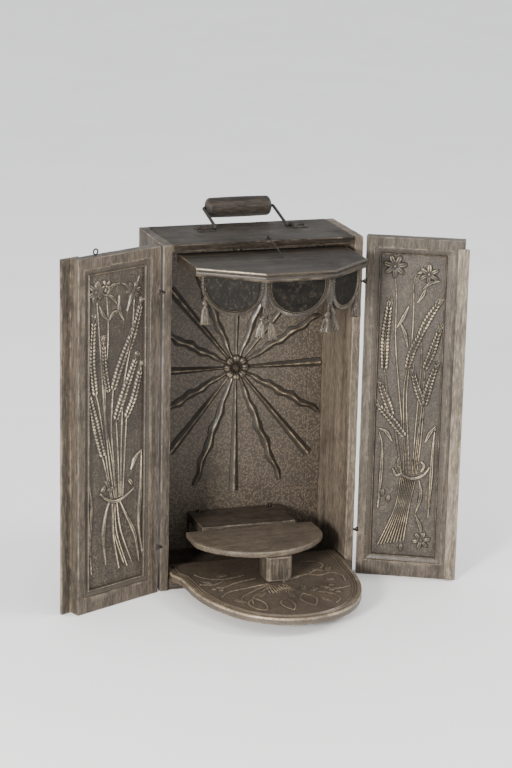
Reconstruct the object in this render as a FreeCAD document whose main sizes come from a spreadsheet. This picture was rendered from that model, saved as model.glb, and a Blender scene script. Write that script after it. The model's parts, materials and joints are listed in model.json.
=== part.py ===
import FreeCAD
import Part
import Sketcher
import math
import os

# A folding tabernacle box: a standing wooden case with two carved doors, a hinged canopy with a
# carved valance, a hinged shelf with a foot, a hinged base board, a latch hook and a bail handle.
# Rest pose: everything open. Origin at the centre of the case's underside, front towards -Y.
# Every y below is first measured from the case's front plane, then shifted by half the depth.

DRIVING = {
    "case_width": 280.0, "case_depth": 121.0, "case_height": 481.0,
    "side_thick": 12.5, "top_thick": 9.5, "floor_thick": 15.5, "back_thick": 6.0,
    "floor_setback": 2.6, "back_seam": 107.0,
    "eye_radius": 2.7, "eye_wire": 0.9, "shank_length": 8.5, "notch_reach": 4.2, "notch_width": 9.0,
    "axis_gap": 1.5, "hinge_low": 65.0, "hinge_high": 419.0,
    "leaf_thick": 16.0, "left_leaf": 138.5, "right_leaf": 133.0,
    "left_open": 155.0, "right_open": 153.0,
    "recess_depth": 4.0, "relief_height": 3.4, "moulding_width": 10.0,
    "recess_foot": 21.0, "recess_head": 467.0,
    "left_recess_start": 16.0, "left_recess_end": 129.0,
    "right_recess_start": 11.0, "right_recess_end": 117.5,
    "astragal_start": 124.0, "astragal_end": 153.0, "astragal_thick": 4.5,
    "strip_start": 124.0, "strip_end": 139.5, "strip_thick": 4.2, "strip_head": 470.5,
    "canopy_top": 467.0, "canopy_thick": 12.5, "canopy_axis": 18.0, "canopy_half": 117.5,
    "canopy_pivot_drop": 4.0, "cornice_bevel": 3.0,
    "canopy_corner": 75.0, "canopy_front": 127.0, "canopy_face_half": 47.5, "canopy_face_shift": 7.5,
    "valance_inset": 8.5, "valance_thick": 5.0, "valance_drop": 49.5, "fringe_width": 7.5,
    "lobe_roundness": 0.8, "tassel_radius": 6.5,
    "shelf_top": 67.8, "shelf_thick": 8.0, "shelf_half": 92.5, "shelf_front": 67.5,
    "shelf_back": 40.5, "shelf_side_radius": 45.0, "shelf_widest": 5.0,
    "rear_top": 71.5, "rear_half": 68.0, "shelf_axis": 109.0,
    "leg_width": 36.0, "leg_depth": 34.0, "leg_shift": 8.0,
    "board_lift": 0.3, "board_thick": 10.0, "board_half": 117.5, "board_shift": 2.5,
    "board_reach": 206.0,
    "board_widest": 51.0, "board_side_radius": 200.0, "board_axis": 39.0, "board_inner_half": 125.0,
    "sun_height": 277.0, "sun_boss": 18.5, "ray_height": 4.2, "ray_root": 3.0, "ray_tip": 13.0,
    "bail_wire": 2.1, "bail_axis": 84.0, "bail_reach": 62.0, "bail_lean": 14.0,
    "bail_left": 42.0, "bail_right": 59.0, "bail_foot": 24.0, "bail_clearance": 0.3,
    "grip_length": 93.6, "grip_radius": 14.0,
    "hook_wire": 0.9, "hook_loop": 2.3, "staple_radius": 3.6, "hook_x": 6.0, "hook_y": 4.0,
    "catch_x": 10.0, "catch_y": -38.0, "catch_radius": 3.2, "catch_wire": 0.8,
}


class Size:
    """A length that carries its value and the sheet formula that gives it."""

    def __init__(self, value, formula):
        self.value = value
        self.formula = formula

    def __add__(self, other):
        return Size(self.value + number(other), "(%s + %s)" % (self.formula, formula(other)))

    def __radd__(self, other):
        return Size(number(other) + self.value, "(%s + %s)" % (formula(other), self.formula))

    def __sub__(self, other):
        return Size(self.value - number(other), "(%s - %s)" % (self.formula, formula(other)))

    def __rsub__(self, other):
        return Size(number(other) - self.value, "(%s - %s)" % (formula(other), self.formula))

    def __mul__(self, other):
        return Size(self.value * number(other), "(%s * %s)" % (self.formula, formula(other)))

    def __rmul__(self, other):
        return Size(number(other) * self.value, "(%s * %s)" % (formula(other), self.formula))

    def __truediv__(self, other):
        return Size(self.value / number(other), "(%s / %s)" % (self.formula, formula(other)))

    def __neg__(self):
        return Size(-self.value, "(0 - %s)" % self.formula)


def number(size):
    return size.value if isinstance(size, Size) else float(size)


def formula(size):
    return size.formula if isinstance(size, Size) else "%.6g" % size


def root(size):
    return Size(math.sqrt(size.value), "sqrt(%s)" % size.formula)


doc = FreeCAD.newDocument("tabernacle_box")
sheet = doc.addObject("Spreadsheet::Sheet", "Sizes")
for row, (name, value) in enumerate(DRIVING.items(), start=1):
    sheet.set("A%d" % row, name)
    sheet.set("B%d" % row, "%g" % value)
    sheet.setAlias("B%d" % row, name)
doc.recompute()


def dim(name):
    return Size(DRIVING[name], "Sizes.%s" % name)


NODES = []
AXES = {
    "x": FreeCAD.Vector(1, 0, 0),
    "y": FreeCAD.Vector(0, 1, 0),
    "z": FreeCAD.Vector(0, 0, 1),
}
FRONT = -dim("case_depth") / 2


def bind(thing, prop, size):
    """Set a property, tied to the sheet where the size comes from it."""
    if isinstance(size, Size):
        thing.setExpression(prop, size.formula)
    else:
        setattr(thing, prop, float(size))


def place(thing, x, y, z, axis="z", angle=0.0):
    """Stand a thing at a point, turned about one axis, with the point tied to the sheet."""
    direction = AXES[axis] if isinstance(axis, str) else axis
    turn = FreeCAD.Rotation(direction, number(angle))
    thing.Placement = FreeCAD.Placement(FreeCAD.Vector(number(x), number(y), number(z)), turn)
    for letter, size in zip("xyz", (x, y, z)):
        if isinstance(size, Size):
            thing.setExpression(".Placement.Base.%s" % letter, size.formula)
    if isinstance(angle, Size):
        thing.setExpression(".Placement.Rotation.Angle", "(%s) * 1 deg" % angle.formula)
    return thing


def box(name, x, y, z, length, width, height):
    """A block from its lowest corner."""
    block = doc.addObject("Part::Box", name)
    bind(block, "Length", length)
    bind(block, "Width", width)
    bind(block, "Height", height)
    return place(block, x, y, z)


def rod(name, x, y, z, direction, radius, length):
    """A round bar that starts at a point and runs along a direction."""
    way = FreeCAD.Vector(*direction)
    straight_down = way.x == 0 and way.y == 0 and way.z < 0
    bar = doc.addObject("Part::Cylinder", name)
    bind(bar, "Radius", radius)
    bind(bar, "Height", length)
    place(bar, x, y, z - length if straight_down else z)
    if not straight_down:
        bar.Placement.Rotation = FreeCAD.Rotation(AXES["z"], way)
    return bar


# A ring's seam is turned away from where its shank joins it.
SEAM_TURN = 37.0


def ring(name, x, y, z, normal, radius, wire):
    """A wire ring about a point."""
    loop = doc.addObject("Part::Torus", name)
    bind(loop, "Radius1", radius)
    bind(loop, "Radius2", wire)
    place(loop, x, y, z)
    facing = FreeCAD.Rotation(AXES["z"], FreeCAD.Vector(*normal))
    loop.Placement.Rotation = facing.multiply(FreeCAD.Rotation(AXES["z"], SEAM_TURN))
    return loop


def fuse(name, pieces):
    joined = doc.addObject("Part::MultiFuse", name)
    joined.Shapes = pieces
    joined.Refine = True
    return joined


def group(name, pieces):
    together = doc.addObject("Part::Compound", name)
    together.Links = pieces
    return together


def cut(name, base, tools):
    taken = doc.addObject("Part::Cut", name)
    taken.Base = base
    taken.Tool = tools[0] if len(tools) == 1 else fuse(name + "_tools", tools)
    return taken


def node(label, thing, *frame):
    """Name a finished sub-part and put it in its frame."""
    thing.Label = label
    if frame:
        place(thing, *frame)
    NODES.append(thing)
    return thing


def free_shape(name, shape):
    """A sub-part whose form neither sketches nor primitives suit."""
    feature = doc.addObject("Part::Feature", name)
    feature.Shape = shape
    return feature


def body(name):
    return doc.addObject("PartDesign::Body", name)


def on_plane(owner, sketch, role):
    plane = [item for item in owner.Origin.OriginFeatures if item.Role == role][0]
    sketch.AttachmentSupport = [(plane, "")]
    sketch.MapMode = "FlatFace"


def arc_between(start, end, radius):
    """The counter-clockwise arc of a radius from one point to another."""
    chord = end - start
    middle = (start + end) / 2
    rise = math.sqrt(max(radius * radius - chord.Length ** 2 / 4, 0.0))
    centre = middle + FreeCAD.Vector(-chord.y, chord.x, 0) / chord.Length * rise
    first = math.atan2(start.y - centre.y, start.x - centre.x)
    last = math.atan2(end.y - centre.y, end.x - centre.x)
    if last < first:
        last += 2 * math.pi
    return Part.ArcOfCircle(Part.Circle(centre, AXES["z"], radius), first, last)


def outline(owner, name, corners):
    """A closed sketch, counter-clockwise. A corner is (x, y), or (x, y, radius) for a side that
    reaches that corner as an outward arc. Every corner is tied to the sheet."""
    sketch = owner.newObject("Sketcher::SketchObject", name)
    on_plane(owner, sketch, "XY_Plane")
    points = [FreeCAD.Vector(number(corner[0]), number(corner[1]), 0) for corner in corners]
    count = len(corners)
    for index in range(count):
        following = corners[(index + 1) % count]
        start = points[index]
        end = points[(index + 1) % count]
        if len(following) == 3:
            sketch.addGeometry(arc_between(start, end, number(following[2])), False)
        else:
            sketch.addGeometry(Part.LineSegment(start, end), False)
    for index, corner in enumerate(corners):
        before = (index - 1) % count
        sketch.addConstraint(Sketcher.Constraint("Coincident", before, 2, index, 1))
        for kind, size in (("DistanceX", corner[0]), ("DistanceY", corner[1])):
            datum = Sketcher.Constraint(kind, -1, 1, index, 1, number(size))
            tie(sketch, sketch.addConstraint(datum), size)
        if len(corner) == 3:
            datum = Sketcher.Constraint("Radius", before, number(corner[2]))
            tie(sketch, sketch.addConstraint(datum), corner[2])
    return sketch


def tie(sketch, index, size):
    if isinstance(size, Size):
        sketch.setExpression("Constraints[%d]" % index, size.formula)


def plate(name, corners, thickness, *frame):
    """A flat board with a sketched outline, standing up from its frame's XY plane."""
    board = body(name + "_body")
    pad = board.newObject("PartDesign::Pad", name + "_pad")
    pad.Profile = outline(board, name + "_outline", corners)
    bind(pad, "Length", thickness)
    return place(board, *frame)


def bevel(board, name, edges, size):
    """Bevel some edges of a body's last feature."""
    tip = board.Tip
    chamfer = board.newObject("PartDesign::Chamfer", name)
    chamfer.Base = (tip, edges)
    bind(chamfer, "Size", size)
    return chamfer


def rounded_front(half_width, reach, side_radius, side_y):
    """The front of an outline that bulges towards -Y by reach: two side arcs, whose centres stand
    at side_y, and a front arc that meets both smoothly. From the left corner round to the right."""
    span = half_width - side_radius
    depth = reach + side_y
    front_radius = ((span * span + depth * depth - side_radius * side_radius)
                    / ((depth - side_radius) * 2))
    centre_y = front_radius - reach
    between = front_radius - side_radius
    touch_x = span + side_radius * span / between
    touch_y = side_y + side_radius * (side_y - centre_y) / between
    return [(-half_width, side_y), (-touch_x, touch_y, side_radius),
            (touch_x, touch_y, front_radius), (half_width, side_y, side_radius)]


def turned_body(name, profile, *frame):
    """A body turned about its sketch's upright axis."""
    solid = body(name + "_body")
    sketch = outline(solid, name + "_profile", profile)
    spin = solid.newObject("PartDesign::Revolution", name + "_turned")
    spin.Profile = sketch
    spin.ReferenceAxis = (sketch, ["V_Axis"])
    spin.Angle = 360
    return place(solid, *frame)


# ---------------------------------------------------------------- hinge eyes

def eye(name, x, y, z, direction, turning_axis, fixed):
    """One wire eye of an interlocked pair at a point of the hinge axis. The fixed eye rings the
    axis. The moving eye's ring stands across it, so that its wire runs through the fixed one."""
    heading = FreeCAD.Vector(*direction).normalize()
    axis = FreeCAD.Vector(*turning_axis)
    radius = dim("eye_radius")
    if fixed:
        loop = ring(name + "_loop", x, y, z, axis, radius, dim("eye_wire"))
        reach = DRIVING["eye_radius"]
    else:
        normal = heading.cross(axis)
        loop = ring(name + "_loop", x + radius * heading.x, y + radius * heading.y,
                    z + radius * heading.z, normal, radius, dim("eye_wire"))
        reach = 2 * DRIVING["eye_radius"]
    shank = rod(name + "_shank", x + reach * heading.x, y + reach * heading.y,
                z + reach * heading.z, heading, dim("eye_wire"), dim("shank_length"))
    return fuse(name, [loop, shank])


# ---------------------------------------------------------------- the case

half = dim("case_width") / 2
inner_half = half - dim("side_thick")
inner_back = FRONT + dim("case_depth") - dim("back_thick")
top_under = dim("case_height") - dim("top_thick")
room_depth = dim("case_depth")

node("side_left", box("side_left_blank", -half, FRONT, 0, dim("side_thick"), room_depth,
                      dim("case_height")))
node("side_right", box("side_right_blank", inner_half, FRONT, 0, dim("side_thick"), room_depth,
                       dim("case_height")))
node("top_board", box("top_blank", -inner_half, FRONT, top_under, inner_half * 2, room_depth,
                      dim("top_thick")))
node("floor_board", box("floor_blank", -inner_half, FRONT + dim("floor_setback"), 0,
                        inner_half * 2, room_depth - dim("floor_setback"), dim("floor_thick")))
back_height = top_under - dim("floor_thick")
node("back_board_wide", box("back_wide_blank", -inner_half, inner_back, dim("floor_thick"),
                            inner_half + dim("back_seam"), dim("back_thick"), back_height))
node("back_board_narrow", box("back_narrow_blank", dim("back_seam"), inner_back,
                              dim("floor_thick"), inner_half - dim("back_seam"),
                              dim("back_thick"), back_height))

NAIL_RADIUS = 1.6
NAIL_LENGTH = 30.0
NAIL_PROUD = 0.2
NAILS_PER_JOINT = 3
nails = []
for side in (-1, 1):
    start = half + NAIL_PROUD - NAIL_LENGTH if side > 0 else -half - NAIL_PROUD
    for level, height in (("floor", dim("floor_thick") / 2),
                          ("top", top_under + dim("top_thick") / 2)):
        for count in range(NAILS_PER_JOINT):
            reach = dim("case_depth") * (count + 0.5) / NAILS_PER_JOINT
            nails.append(rod("nail_%s_%d_%d" % (level, side + 1, count), start, FRONT + reach,
                             height, (1, 0, 0), NAIL_RADIUS, NAIL_LENGTH))
node("case_nails", group("case_nails_set", nails))

# The ledger under the rear of the shelf.
LEDGER_HEIGHT = 28.0
LEDGER_DEPTH = 11.0
LEDGER_GAP = 1.6
rear_under = dim("shelf_top") - dim("shelf_thick")
node("shelf_ledger", box("ledger_blank", -dim("rear_half"), inner_back - LEDGER_DEPTH,
                         rear_under - LEDGER_GAP - LEDGER_HEIGHT, dim("rear_half") * 2,
                         LEDGER_DEPTH, LEDGER_HEIGHT))

# ---------------------------------------------------------------- the sunburst on the back

# The crest of a ray starts at this share of its full height and rises as the ray widens.
CREST_START = 0.35


def ridge(points, widths, height):
    """A long three-sided ridge on the back board through points, with a width at each."""
    sections = []
    for index, (x, z) in enumerate(points):
        before = points[max(index - 1, 0)]
        after = points[min(index + 1, len(points) - 1)]
        along = FreeCAD.Vector(after[0] - before[0], 0, after[1] - before[1]).normalize()
        across = along.cross(AXES["y"])
        foot = FreeCAD.Vector(x, 0, z)
        left = foot + across * widths[index] / 2
        right = foot - across * widths[index] / 2
        crest = foot - AXES["y"] * height * min(1.0, CREST_START + widths[index] / widths[-1])
        sections.append(Part.makePolygon([left, crest, right, left]))
    return Part.makeLoft(sections, True, True)


STRAIGHT_RAYS = ((0.0, 125.0), (50.5, 150.0), (90.0, 170.0), (129.5, 150.0),
                 (180.0, 125.0), (231.0, 150.0), (270.0, 178.0), (309.5, 165.0))
WAVY_RAYS = ((29.5, 140.0), (69.5, 165.0), (113.0, 165.0), (152.5, 140.0),
             (208.5, 140.0), (250.8, 178.0), (292.0, 182.0), (330.0, 143.0))
RAY_LENGTH = 150.0
RAY_GAP = 0.4
RAY_SIDE_GAP = 4.0
WAVE_SWING = 2.6
WAVE_COUNT = 3.2
WAVE_STEPS = 12
WAVE_BELLY = 7.0
WAVE_POINT = 2.0
WAVE_FULL = 0.97
WAVE_SHORTER = 4.0


def inside_case(angle, length):
    """The length of a ray, ended where it meets a side of the case."""
    limit = DRIVING["case_width"] / 2 - DRIVING["side_thick"] - RAY_SIDE_GAP
    reach = abs(math.cos(math.radians(angle)))
    return min(length, limit / reach) if length * reach > limit else length


def straight_ray(angle, length):
    length = inside_case(angle, length)
    heading = math.radians(angle)
    stations = (DRIVING["sun_boss"] + RAY_GAP, length)
    points = [(station * math.cos(heading), station * math.sin(heading)) for station in stations]
    return ridge(points, (DRIVING["ray_root"], DRIVING["ray_tip"] * length / RAY_LENGTH),
                 DRIVING["ray_height"])


def wavy_ray(angle, length):
    length = inside_case(angle, length) - WAVE_SHORTER
    heading = math.radians(angle)
    start = DRIVING["sun_boss"] + RAY_GAP
    points = []
    widths = []
    for step in range(WAVE_STEPS + 1):
        share = step / WAVE_STEPS
        station = start + (length - start) * share
        swing = WAVE_SWING * share * math.sin(WAVE_COUNT * 2 * math.pi * share)
        points.append((station * math.cos(heading) - swing * math.sin(heading),
                       station * math.sin(heading) + swing * math.cos(heading)))
        belly = math.sqrt(math.sin(math.pi * min(share, WAVE_FULL)))
        widths.append(DRIVING["ray_root"] + WAVE_BELLY * belly)
    widths[-1] = WAVE_POINT
    return ridge(points, widths, DRIVING["ray_height"])


sun_place = (0, inner_back, dim("sun_height"))
node("sun_rays_straight", free_shape("rays_straight", Part.makeCompound(
    [straight_ray(angle, length) for angle, length in STRAIGHT_RAYS])), *sun_place)
node("sun_rays_wavy", free_shape("rays_wavy", Part.makeCompound(
    [wavy_ray(angle, length) for angle, length in WAVY_RAYS])), *sun_place)

# The flower at the centre, turned as a low dome.
BOSS_RISE = 9.0
BOSS_SHOULDER = 5.0
BOSS_DRAFT = 1.5
boss_profile = [
    (0, 0), (dim("sun_boss"), 0), (dim("sun_boss") - BOSS_DRAFT, BOSS_SHOULDER),
    (dim("sun_boss") / 3, BOSS_RISE), (0, BOSS_RISE)]
node("sun_flower", turned_body("sun_flower", boss_profile, 0, inner_back, dim("sun_height"), "x", 180))

# ---------------------------------------------------------------- the doors

HINGE_LEVELS = ("hinge_low", "hinge_high")
gap = dim("axis_gap")


def door_frame(side):
    """The hinge axis of a door and the angle it stands open at."""
    x = (half + gap) * side
    y = FRONT - gap
    angle = -dim("left_open") if side < 0 else dim("right_open")
    return x, y, angle


def door(side, leaf, start, end, prefix):
    """One door, drawn closed about its own hinge axis, then turned open. Its free edge lies
    towards -side and its outer face towards -Y."""
    x, y, angle = door_frame(side)
    frame = (x, y, 0, "z", angle)
    towards = -side

    def across(near, far):
        """The lowest x and the width of a stretch measured from the leaf's hinge edge."""
        first = gap + near if towards > 0 else -(gap + far)
        return first, far - near

    low, wide = across(0, leaf)
    slab = box(prefix + "_slab", low, -gap - dim("leaf_thick"), 0, wide, dim("leaf_thick"),
               dim("case_height"))
    low, wide = across(start, end)
    floor = -gap - dim("recess_depth")
    tools = [box(prefix + "_recess", low, floor, dim("recess_foot"), wide,
                 dim("recess_depth") + 1, dim("recess_head") - dim("recess_foot"))]
    for level in HINGE_LEVELS:
        tools.append(rod(prefix + "_notch_" + level, 0, 0, dim(level) - dim("notch_width") / 2,
                         (0, 0, 1), dim("notch_reach"), dim("notch_width")))
    node(prefix + "_leaf", cut(prefix + "_leaf_cut", slab, tools), *frame)

    # Four moulded strips round the recess.
    strip = dim("moulding_width")
    tall = dim("recess_head") - dim("recess_foot")
    rails = []
    for name, near, far, foot, height in (
            ("hinge", start, start + strip, dim("recess_foot"), tall),
            ("free", end - strip, end, dim("recess_foot"), tall),
            ("foot", start + strip, end - strip, dim("recess_foot"), strip),
            ("head", start + strip, end - strip, dim("recess_head") - strip, strip)):
        low, wide = across(near, far)
        rails.append(box(prefix + "_rail_" + name, low, floor, foot, wide,
                         dim("recess_depth"), height))
    node(prefix + "_moulding", group(prefix + "_moulding_set", rails), *frame)

    low, wide = across(start + strip, end - strip)
    carving = box(prefix + "_relief", low, floor, dim("recess_foot") + strip, wide,
                  dim("relief_height"), tall - strip * 2)
    node(prefix + "_carving", group(prefix + "_carving_set", [carving]), *frame)

    eyes = [eye("%s_eye_%s" % (prefix, level), 0, 0, dim(level), (towards, -1, 0), (0, 0, 1), False)
            for level in HINGE_LEVELS]
    node(prefix + "_hinge_eyes", group(prefix + "_eyes", eyes), *frame)
    return frame, across


left, left_across = door(-1, dim("left_leaf"), dim("left_recess_start"), dim("left_recess_end"),
                         "left_door")
right, right_across = door(1, dim("right_leaf"), dim("right_recess_start"),
                           dim("right_recess_end"), "right_door")

# The batten on the left leaf's outer face, which covers the joint when the doors are closed.
ASTRAGAL_CLEARANCE = 0.4
low, wide = left_across(dim("astragal_start"), dim("astragal_end"))
cover = box("astragal_blank", low, -gap - dim("leaf_thick") - dim("astragal_thick"), 0, wide,
            dim("astragal_thick"), dim("case_height"))
past, beyond = left_across(dim("left_leaf"), dim("astragal_end") + 1)
relief = box("astragal_relief", past, -gap - dim("leaf_thick") - ASTRAGAL_CLEARANCE, 0, beyond,
             1.0, dim("case_height"))
node("left_door_astragal", cut("astragal_cut", cover, [relief]), *left)

# The thin strip on the right leaf's inner face.
STRIP_FOOT = 1.0
low, wide = right_across(dim("strip_start"), dim("strip_end"))
rebate = box("strip_blank", low, -gap, STRIP_FOOT, wide, dim("strip_thick"),
             dim("strip_head") - STRIP_FOOT)
node("right_door_strip", group("strip_set", [rebate]), *right)

# The screw eye on the left door's top edge, for the latch hook.
LATCH_PLACE = 104.0
LATCH_RING = 3.6
LATCH_WIRE = 1.0
LATCH_LIFT = 5.2
LATCH_SHANK = 10.8
LATCH_SUNK = 9.0
latch_ring = ring("latch_ring", gap + LATCH_PLACE, -gap - dim("leaf_thick") / 2,
                  dim("case_height") + LATCH_LIFT, (0, 1, 0), LATCH_RING, LATCH_WIRE)
latch_shank = rod("latch_shank", gap + LATCH_PLACE, -gap - dim("leaf_thick") / 2,
                  dim("case_height") - LATCH_SUNK, (0, 0, 1), LATCH_WIRE, LATCH_SHANK)
node("left_door_latch_eye", group("latch_eye_set", [fuse("latch_eye", [latch_ring, latch_shank])]),
     *left)

case_eyes = []
for side in (-1, 1):
    x, y, angle = door_frame(side)
    for level in HINGE_LEVELS:
        case_eyes.append(eye("case_eye_%d_%s" % (side + 1, level), x, y, dim(level),
                             (-side, 1, 0), (0, 0, 1), True))
node("door_hinge_eyes", group("case_eyes", case_eyes))

# ---------------------------------------------------------------- pairs of eyes on a level axis


def level_hinge(prefix, y, z, offsets, fixed_way, moving_way):
    """The fixed eyes and the moving eyes of a hinge whose axis runs along X."""
    for kind, way in (("fixed", fixed_way), ("moving", moving_way)):
        eyes = [eye("%s_%s_%d" % (prefix, kind, index), x, y, z, way, (1, 0, 0), kind == "fixed")
                for index, x in enumerate(offsets)]
        node("%s_%s_eyes" % (prefix, kind), group("%s_%s" % (prefix, kind), eyes))


def hinge_notches(prefix, y, z, depth_back, height, offsets):
    """Square notches in a board's back edge that leave room for the fixed eyes."""
    return [box("%s_notch_%d" % (prefix, index), x - dim("notch_width") / 2,
                y - dim("notch_reach"), z, dim("notch_width"), dim("notch_reach") + depth_back,
                height) for index, x in enumerate(offsets)]


# ---------------------------------------------------------------- the canopy

CANOPY_OFFSETS = (-80.0, 80.0)
canopy_under = dim("canopy_top") - dim("canopy_thick")
canopy_pivot_y = FRONT + dim("canopy_axis")
canopy_pivot_z = dim("canopy_top") - dim("canopy_pivot_drop")
canopy_back = dim("canopy_axis") - dim("notch_reach")
corner_left = (-dim("canopy_half"), -dim("canopy_corner"))
point_left = (dim("canopy_face_shift") - dim("canopy_face_half"), -dim("canopy_front"))
point_right = (dim("canopy_face_shift") + dim("canopy_face_half"), -dim("canopy_front"))
corner_right = (dim("canopy_half"), -dim("canopy_corner"))
canopy = plate("canopy_board", [
    (-dim("canopy_half"), canopy_back), corner_left, point_left, point_right, corner_right,
    (dim("canopy_half"), canopy_back)], dim("canopy_thick"), 0, FRONT, canopy_under)
doc.recompute()
NEAR = 0.1
cornice_edges = []
for index, edge in enumerate(canopy.Shape.Edges, start=1):
    room = edge.BoundBox
    low = room.ZMax < number(canopy_under) + NEAR
    ahead = room.YMax < number(FRONT) - DRIVING["canopy_corner"] + NEAR
    if low and ahead:
        cornice_edges.append("Edge%d" % index)
bevel(canopy, "canopy_cornice", cornice_edges, dim("cornice_bevel"))
node("canopy_board", canopy)

level_hinge("canopy", canopy_pivot_y, canopy_pivot_z, CANOPY_OFFSETS, (0, 0, 1), (0, -1, 0))


def facet(start, end):
    """A front edge of the canopy: its left end, its direction, the way inward and its length."""
    first = FreeCAD.Vector(number(start[0]), number(start[1]), 0)
    last = FreeCAD.Vector(number(end[0]), number(end[1]), 0)
    way = (last - first).normalize()
    return first, way, FreeCAD.Vector(-way.y, way.x, 0), (last - first).Length


def turn_between(before, after):
    """How much of the inset a facet loses at the corner that it shares with its neighbour."""
    return math.tan(before[1].getAngle(after[1]) / 2)


facets = [facet(corner_left, point_left), facet(point_left, point_right),
          facet(point_right, corner_right)]
END_TURN = 0.2
turns = [END_TURN, turn_between(facets[0], facets[1]), turn_between(facets[1], facets[2]), END_TURN]
valance_back = DRIVING["valance_inset"] + DRIVING["valance_thick"]


PANEL_SUNK = 1.0
HOLLOW_PAST = 1.0


def valance(name, edge, left_turn, right_turn, shoulder):
    """A round hanging lobe below one facet, sunk a little behind the fringe that borders it. Its
    sides run straight down as far as its shoulder, before they turn in."""
    first, way, inward, length = edge
    left_end = valance_back * left_turn
    right_end = length - valance_back * right_turn
    half_width = (right_end - left_end) / 2
    heading = math.degrees(math.atan2(way.y, way.x))
    upright = FreeCAD.Rotation(AXES["z"], heading).multiply(FreeCAD.Rotation(AXES["x"], 90))

    def lobe(part_name, width, drop, radius, depth, sunk):
        """A lobe of some width and drop, with its back face on the valance's back plane."""
        corners = [(width, 0), (-width, 0)] + rounded_front(width, drop, radius, -shoulder)
        board = plate(part_name, corners, depth, 0, 0, 0)
        spot = first + way * (left_end + half_width) + inward * (valance_back - sunk)
        base = FreeCAD.Vector(spot.x, spot.y + number(FRONT), number(canopy_under))
        board.Placement = FreeCAD.Placement(base, upright)
        return board

    fringe = dim("fringe_width")
    radius = dim("lobe_roundness") * half_width
    panel = lobe("panel_" + name, half_width - fringe, dim("valance_drop") - fringe,
                 radius - fringe, dim("valance_thick") - PANEL_SUNK * 2, PANEL_SUNK)
    hollow = lobe("hollow_" + name, half_width - fringe, dim("valance_drop") - fringe,
                  radius - fringe, dim("valance_thick") + HOLLOW_PAST * 2, -HOLLOW_PAST)
    border = lobe("border_" + name, half_width, dim("valance_drop"), radius,
                  dim("valance_thick"), 0.0)
    node("valance_panel_" + name, panel)
    node("valance_fringe_" + name, cut("fringe_" + name, border, [hollow]))


valance("left", facets[0], turns[0], turns[1], 9.0)
valance("middle", facets[1], turns[1], turns[2], 9.0)
valance("right", facets[2], turns[2], turns[3], 16.0)


def at_corner(index, along):
    """A point of the valance's middle surface at a corner, moved along the facet beside it, and
    that facet's direction."""
    inset = DRIVING["valance_inset"] + DRIVING["valance_thick"] / 2
    before_last = index < len(facets)
    first, way, inward, length = facets[index] if before_last else facets[-1]
    start = first if before_last else first + way * length
    lost = turns[index] * inset * (1 if before_last else -1)
    return start + way * (lost + along) + inward * inset, inward


# The pendants that hang in the corners between the lobes, as radii and heights.
PENDANT_PROFILE = [(0, 0), (1.6, 0), (2.2, -12.0), (4.6, -24.0), (5.6, -31.0), (3.4, -36.0),
                   (0, -36.0)]
pendants = []
for index in (1, 2):
    spot, inward = at_corner(index, 0.0)
    pendants.append(turned_body("pendant_%d" % index, PENDANT_PROFILE, spot.x,
                                FRONT + spot.y, canopy_under, "x", 90))
node("valance_pendants", group("pendant_set", pendants))

# A tassel hangs on a cord and flares into a skirt. Its profile is given as shares of its radius
# and of its length.
TASSEL_PROFILE = [(0, 0), (0.16, 0), (0.16, -0.26), (0.58, -0.34), (0.62, -0.42), (0.42, -0.50),
                  (0.85, -0.80), (1.0, -1.0), (0, -1.0)]
# Each tassel's corner, its distance along the facet, its lean, how far down its cord starts, and
# its length.
TASSELS = ((0, 7.0, 0.0, 15.0, 50.0), (1, -1.5, -8.0, 32.0, 43.0), (1, 3.5, 9.0, 32.0, 47.0),
           (2, -3.0, -15.0, 32.0, 40.0), (2, 3.0, 15.0, 32.0, 43.0), (3, -7.0, 0.0, 18.0, 48.0))


def tassel(name, corner, along, lean, drop, length):
    """A tassel on its cord, leaning sideways about the way inward at its corner."""
    spot, inward = at_corner(corner, along)
    profile = [(dim("tassel_radius") * share, length * fall) for share, fall in TASSEL_PROFILE]
    hung = turned_body("tassel_" + name, profile, spot.x, FRONT + spot.y, canopy_under - drop)
    upright = FreeCAD.Rotation(AXES["x"], 90)
    hung.Placement.Rotation = FreeCAD.Rotation(inward, -lean).multiply(upright)
    return hung


tassels = [tassel("%d" % count, *figures) for count, figures in enumerate(TASSELS)]
node("valance_tassels", group("tassel_set", tassels))

# The wire eye on the canopy that the hook's tip drops into.
catch = ring("catch_ring", dim("catch_x"), FRONT + dim("catch_y"),
             dim("canopy_top") + dim("catch_wire") / 2, (0, 0, 1), dim("catch_radius"),
             dim("catch_wire"))
node("canopy_catch", group("catch_set", [catch]))

# ---------------------------------------------------------------- the latch hook

HOOK_CLEARANCE = 0.4
TIP_LENGTH = 3.4
hook_x = dim("hook_x")
hook_y = FRONT + dim("hook_y")
hook_z = dim("case_height") + dim("hook_loop") + dim("hook_wire") + HOOK_CLEARANCE
staple = ring("hook_staple_ring", hook_x, hook_y, hook_z - dim("staple_radius"), (0, 1, 0),
              dim("staple_radius"), dim("hook_wire"))
node("hook_staple", group("hook_staple_set", [staple]))

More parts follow.
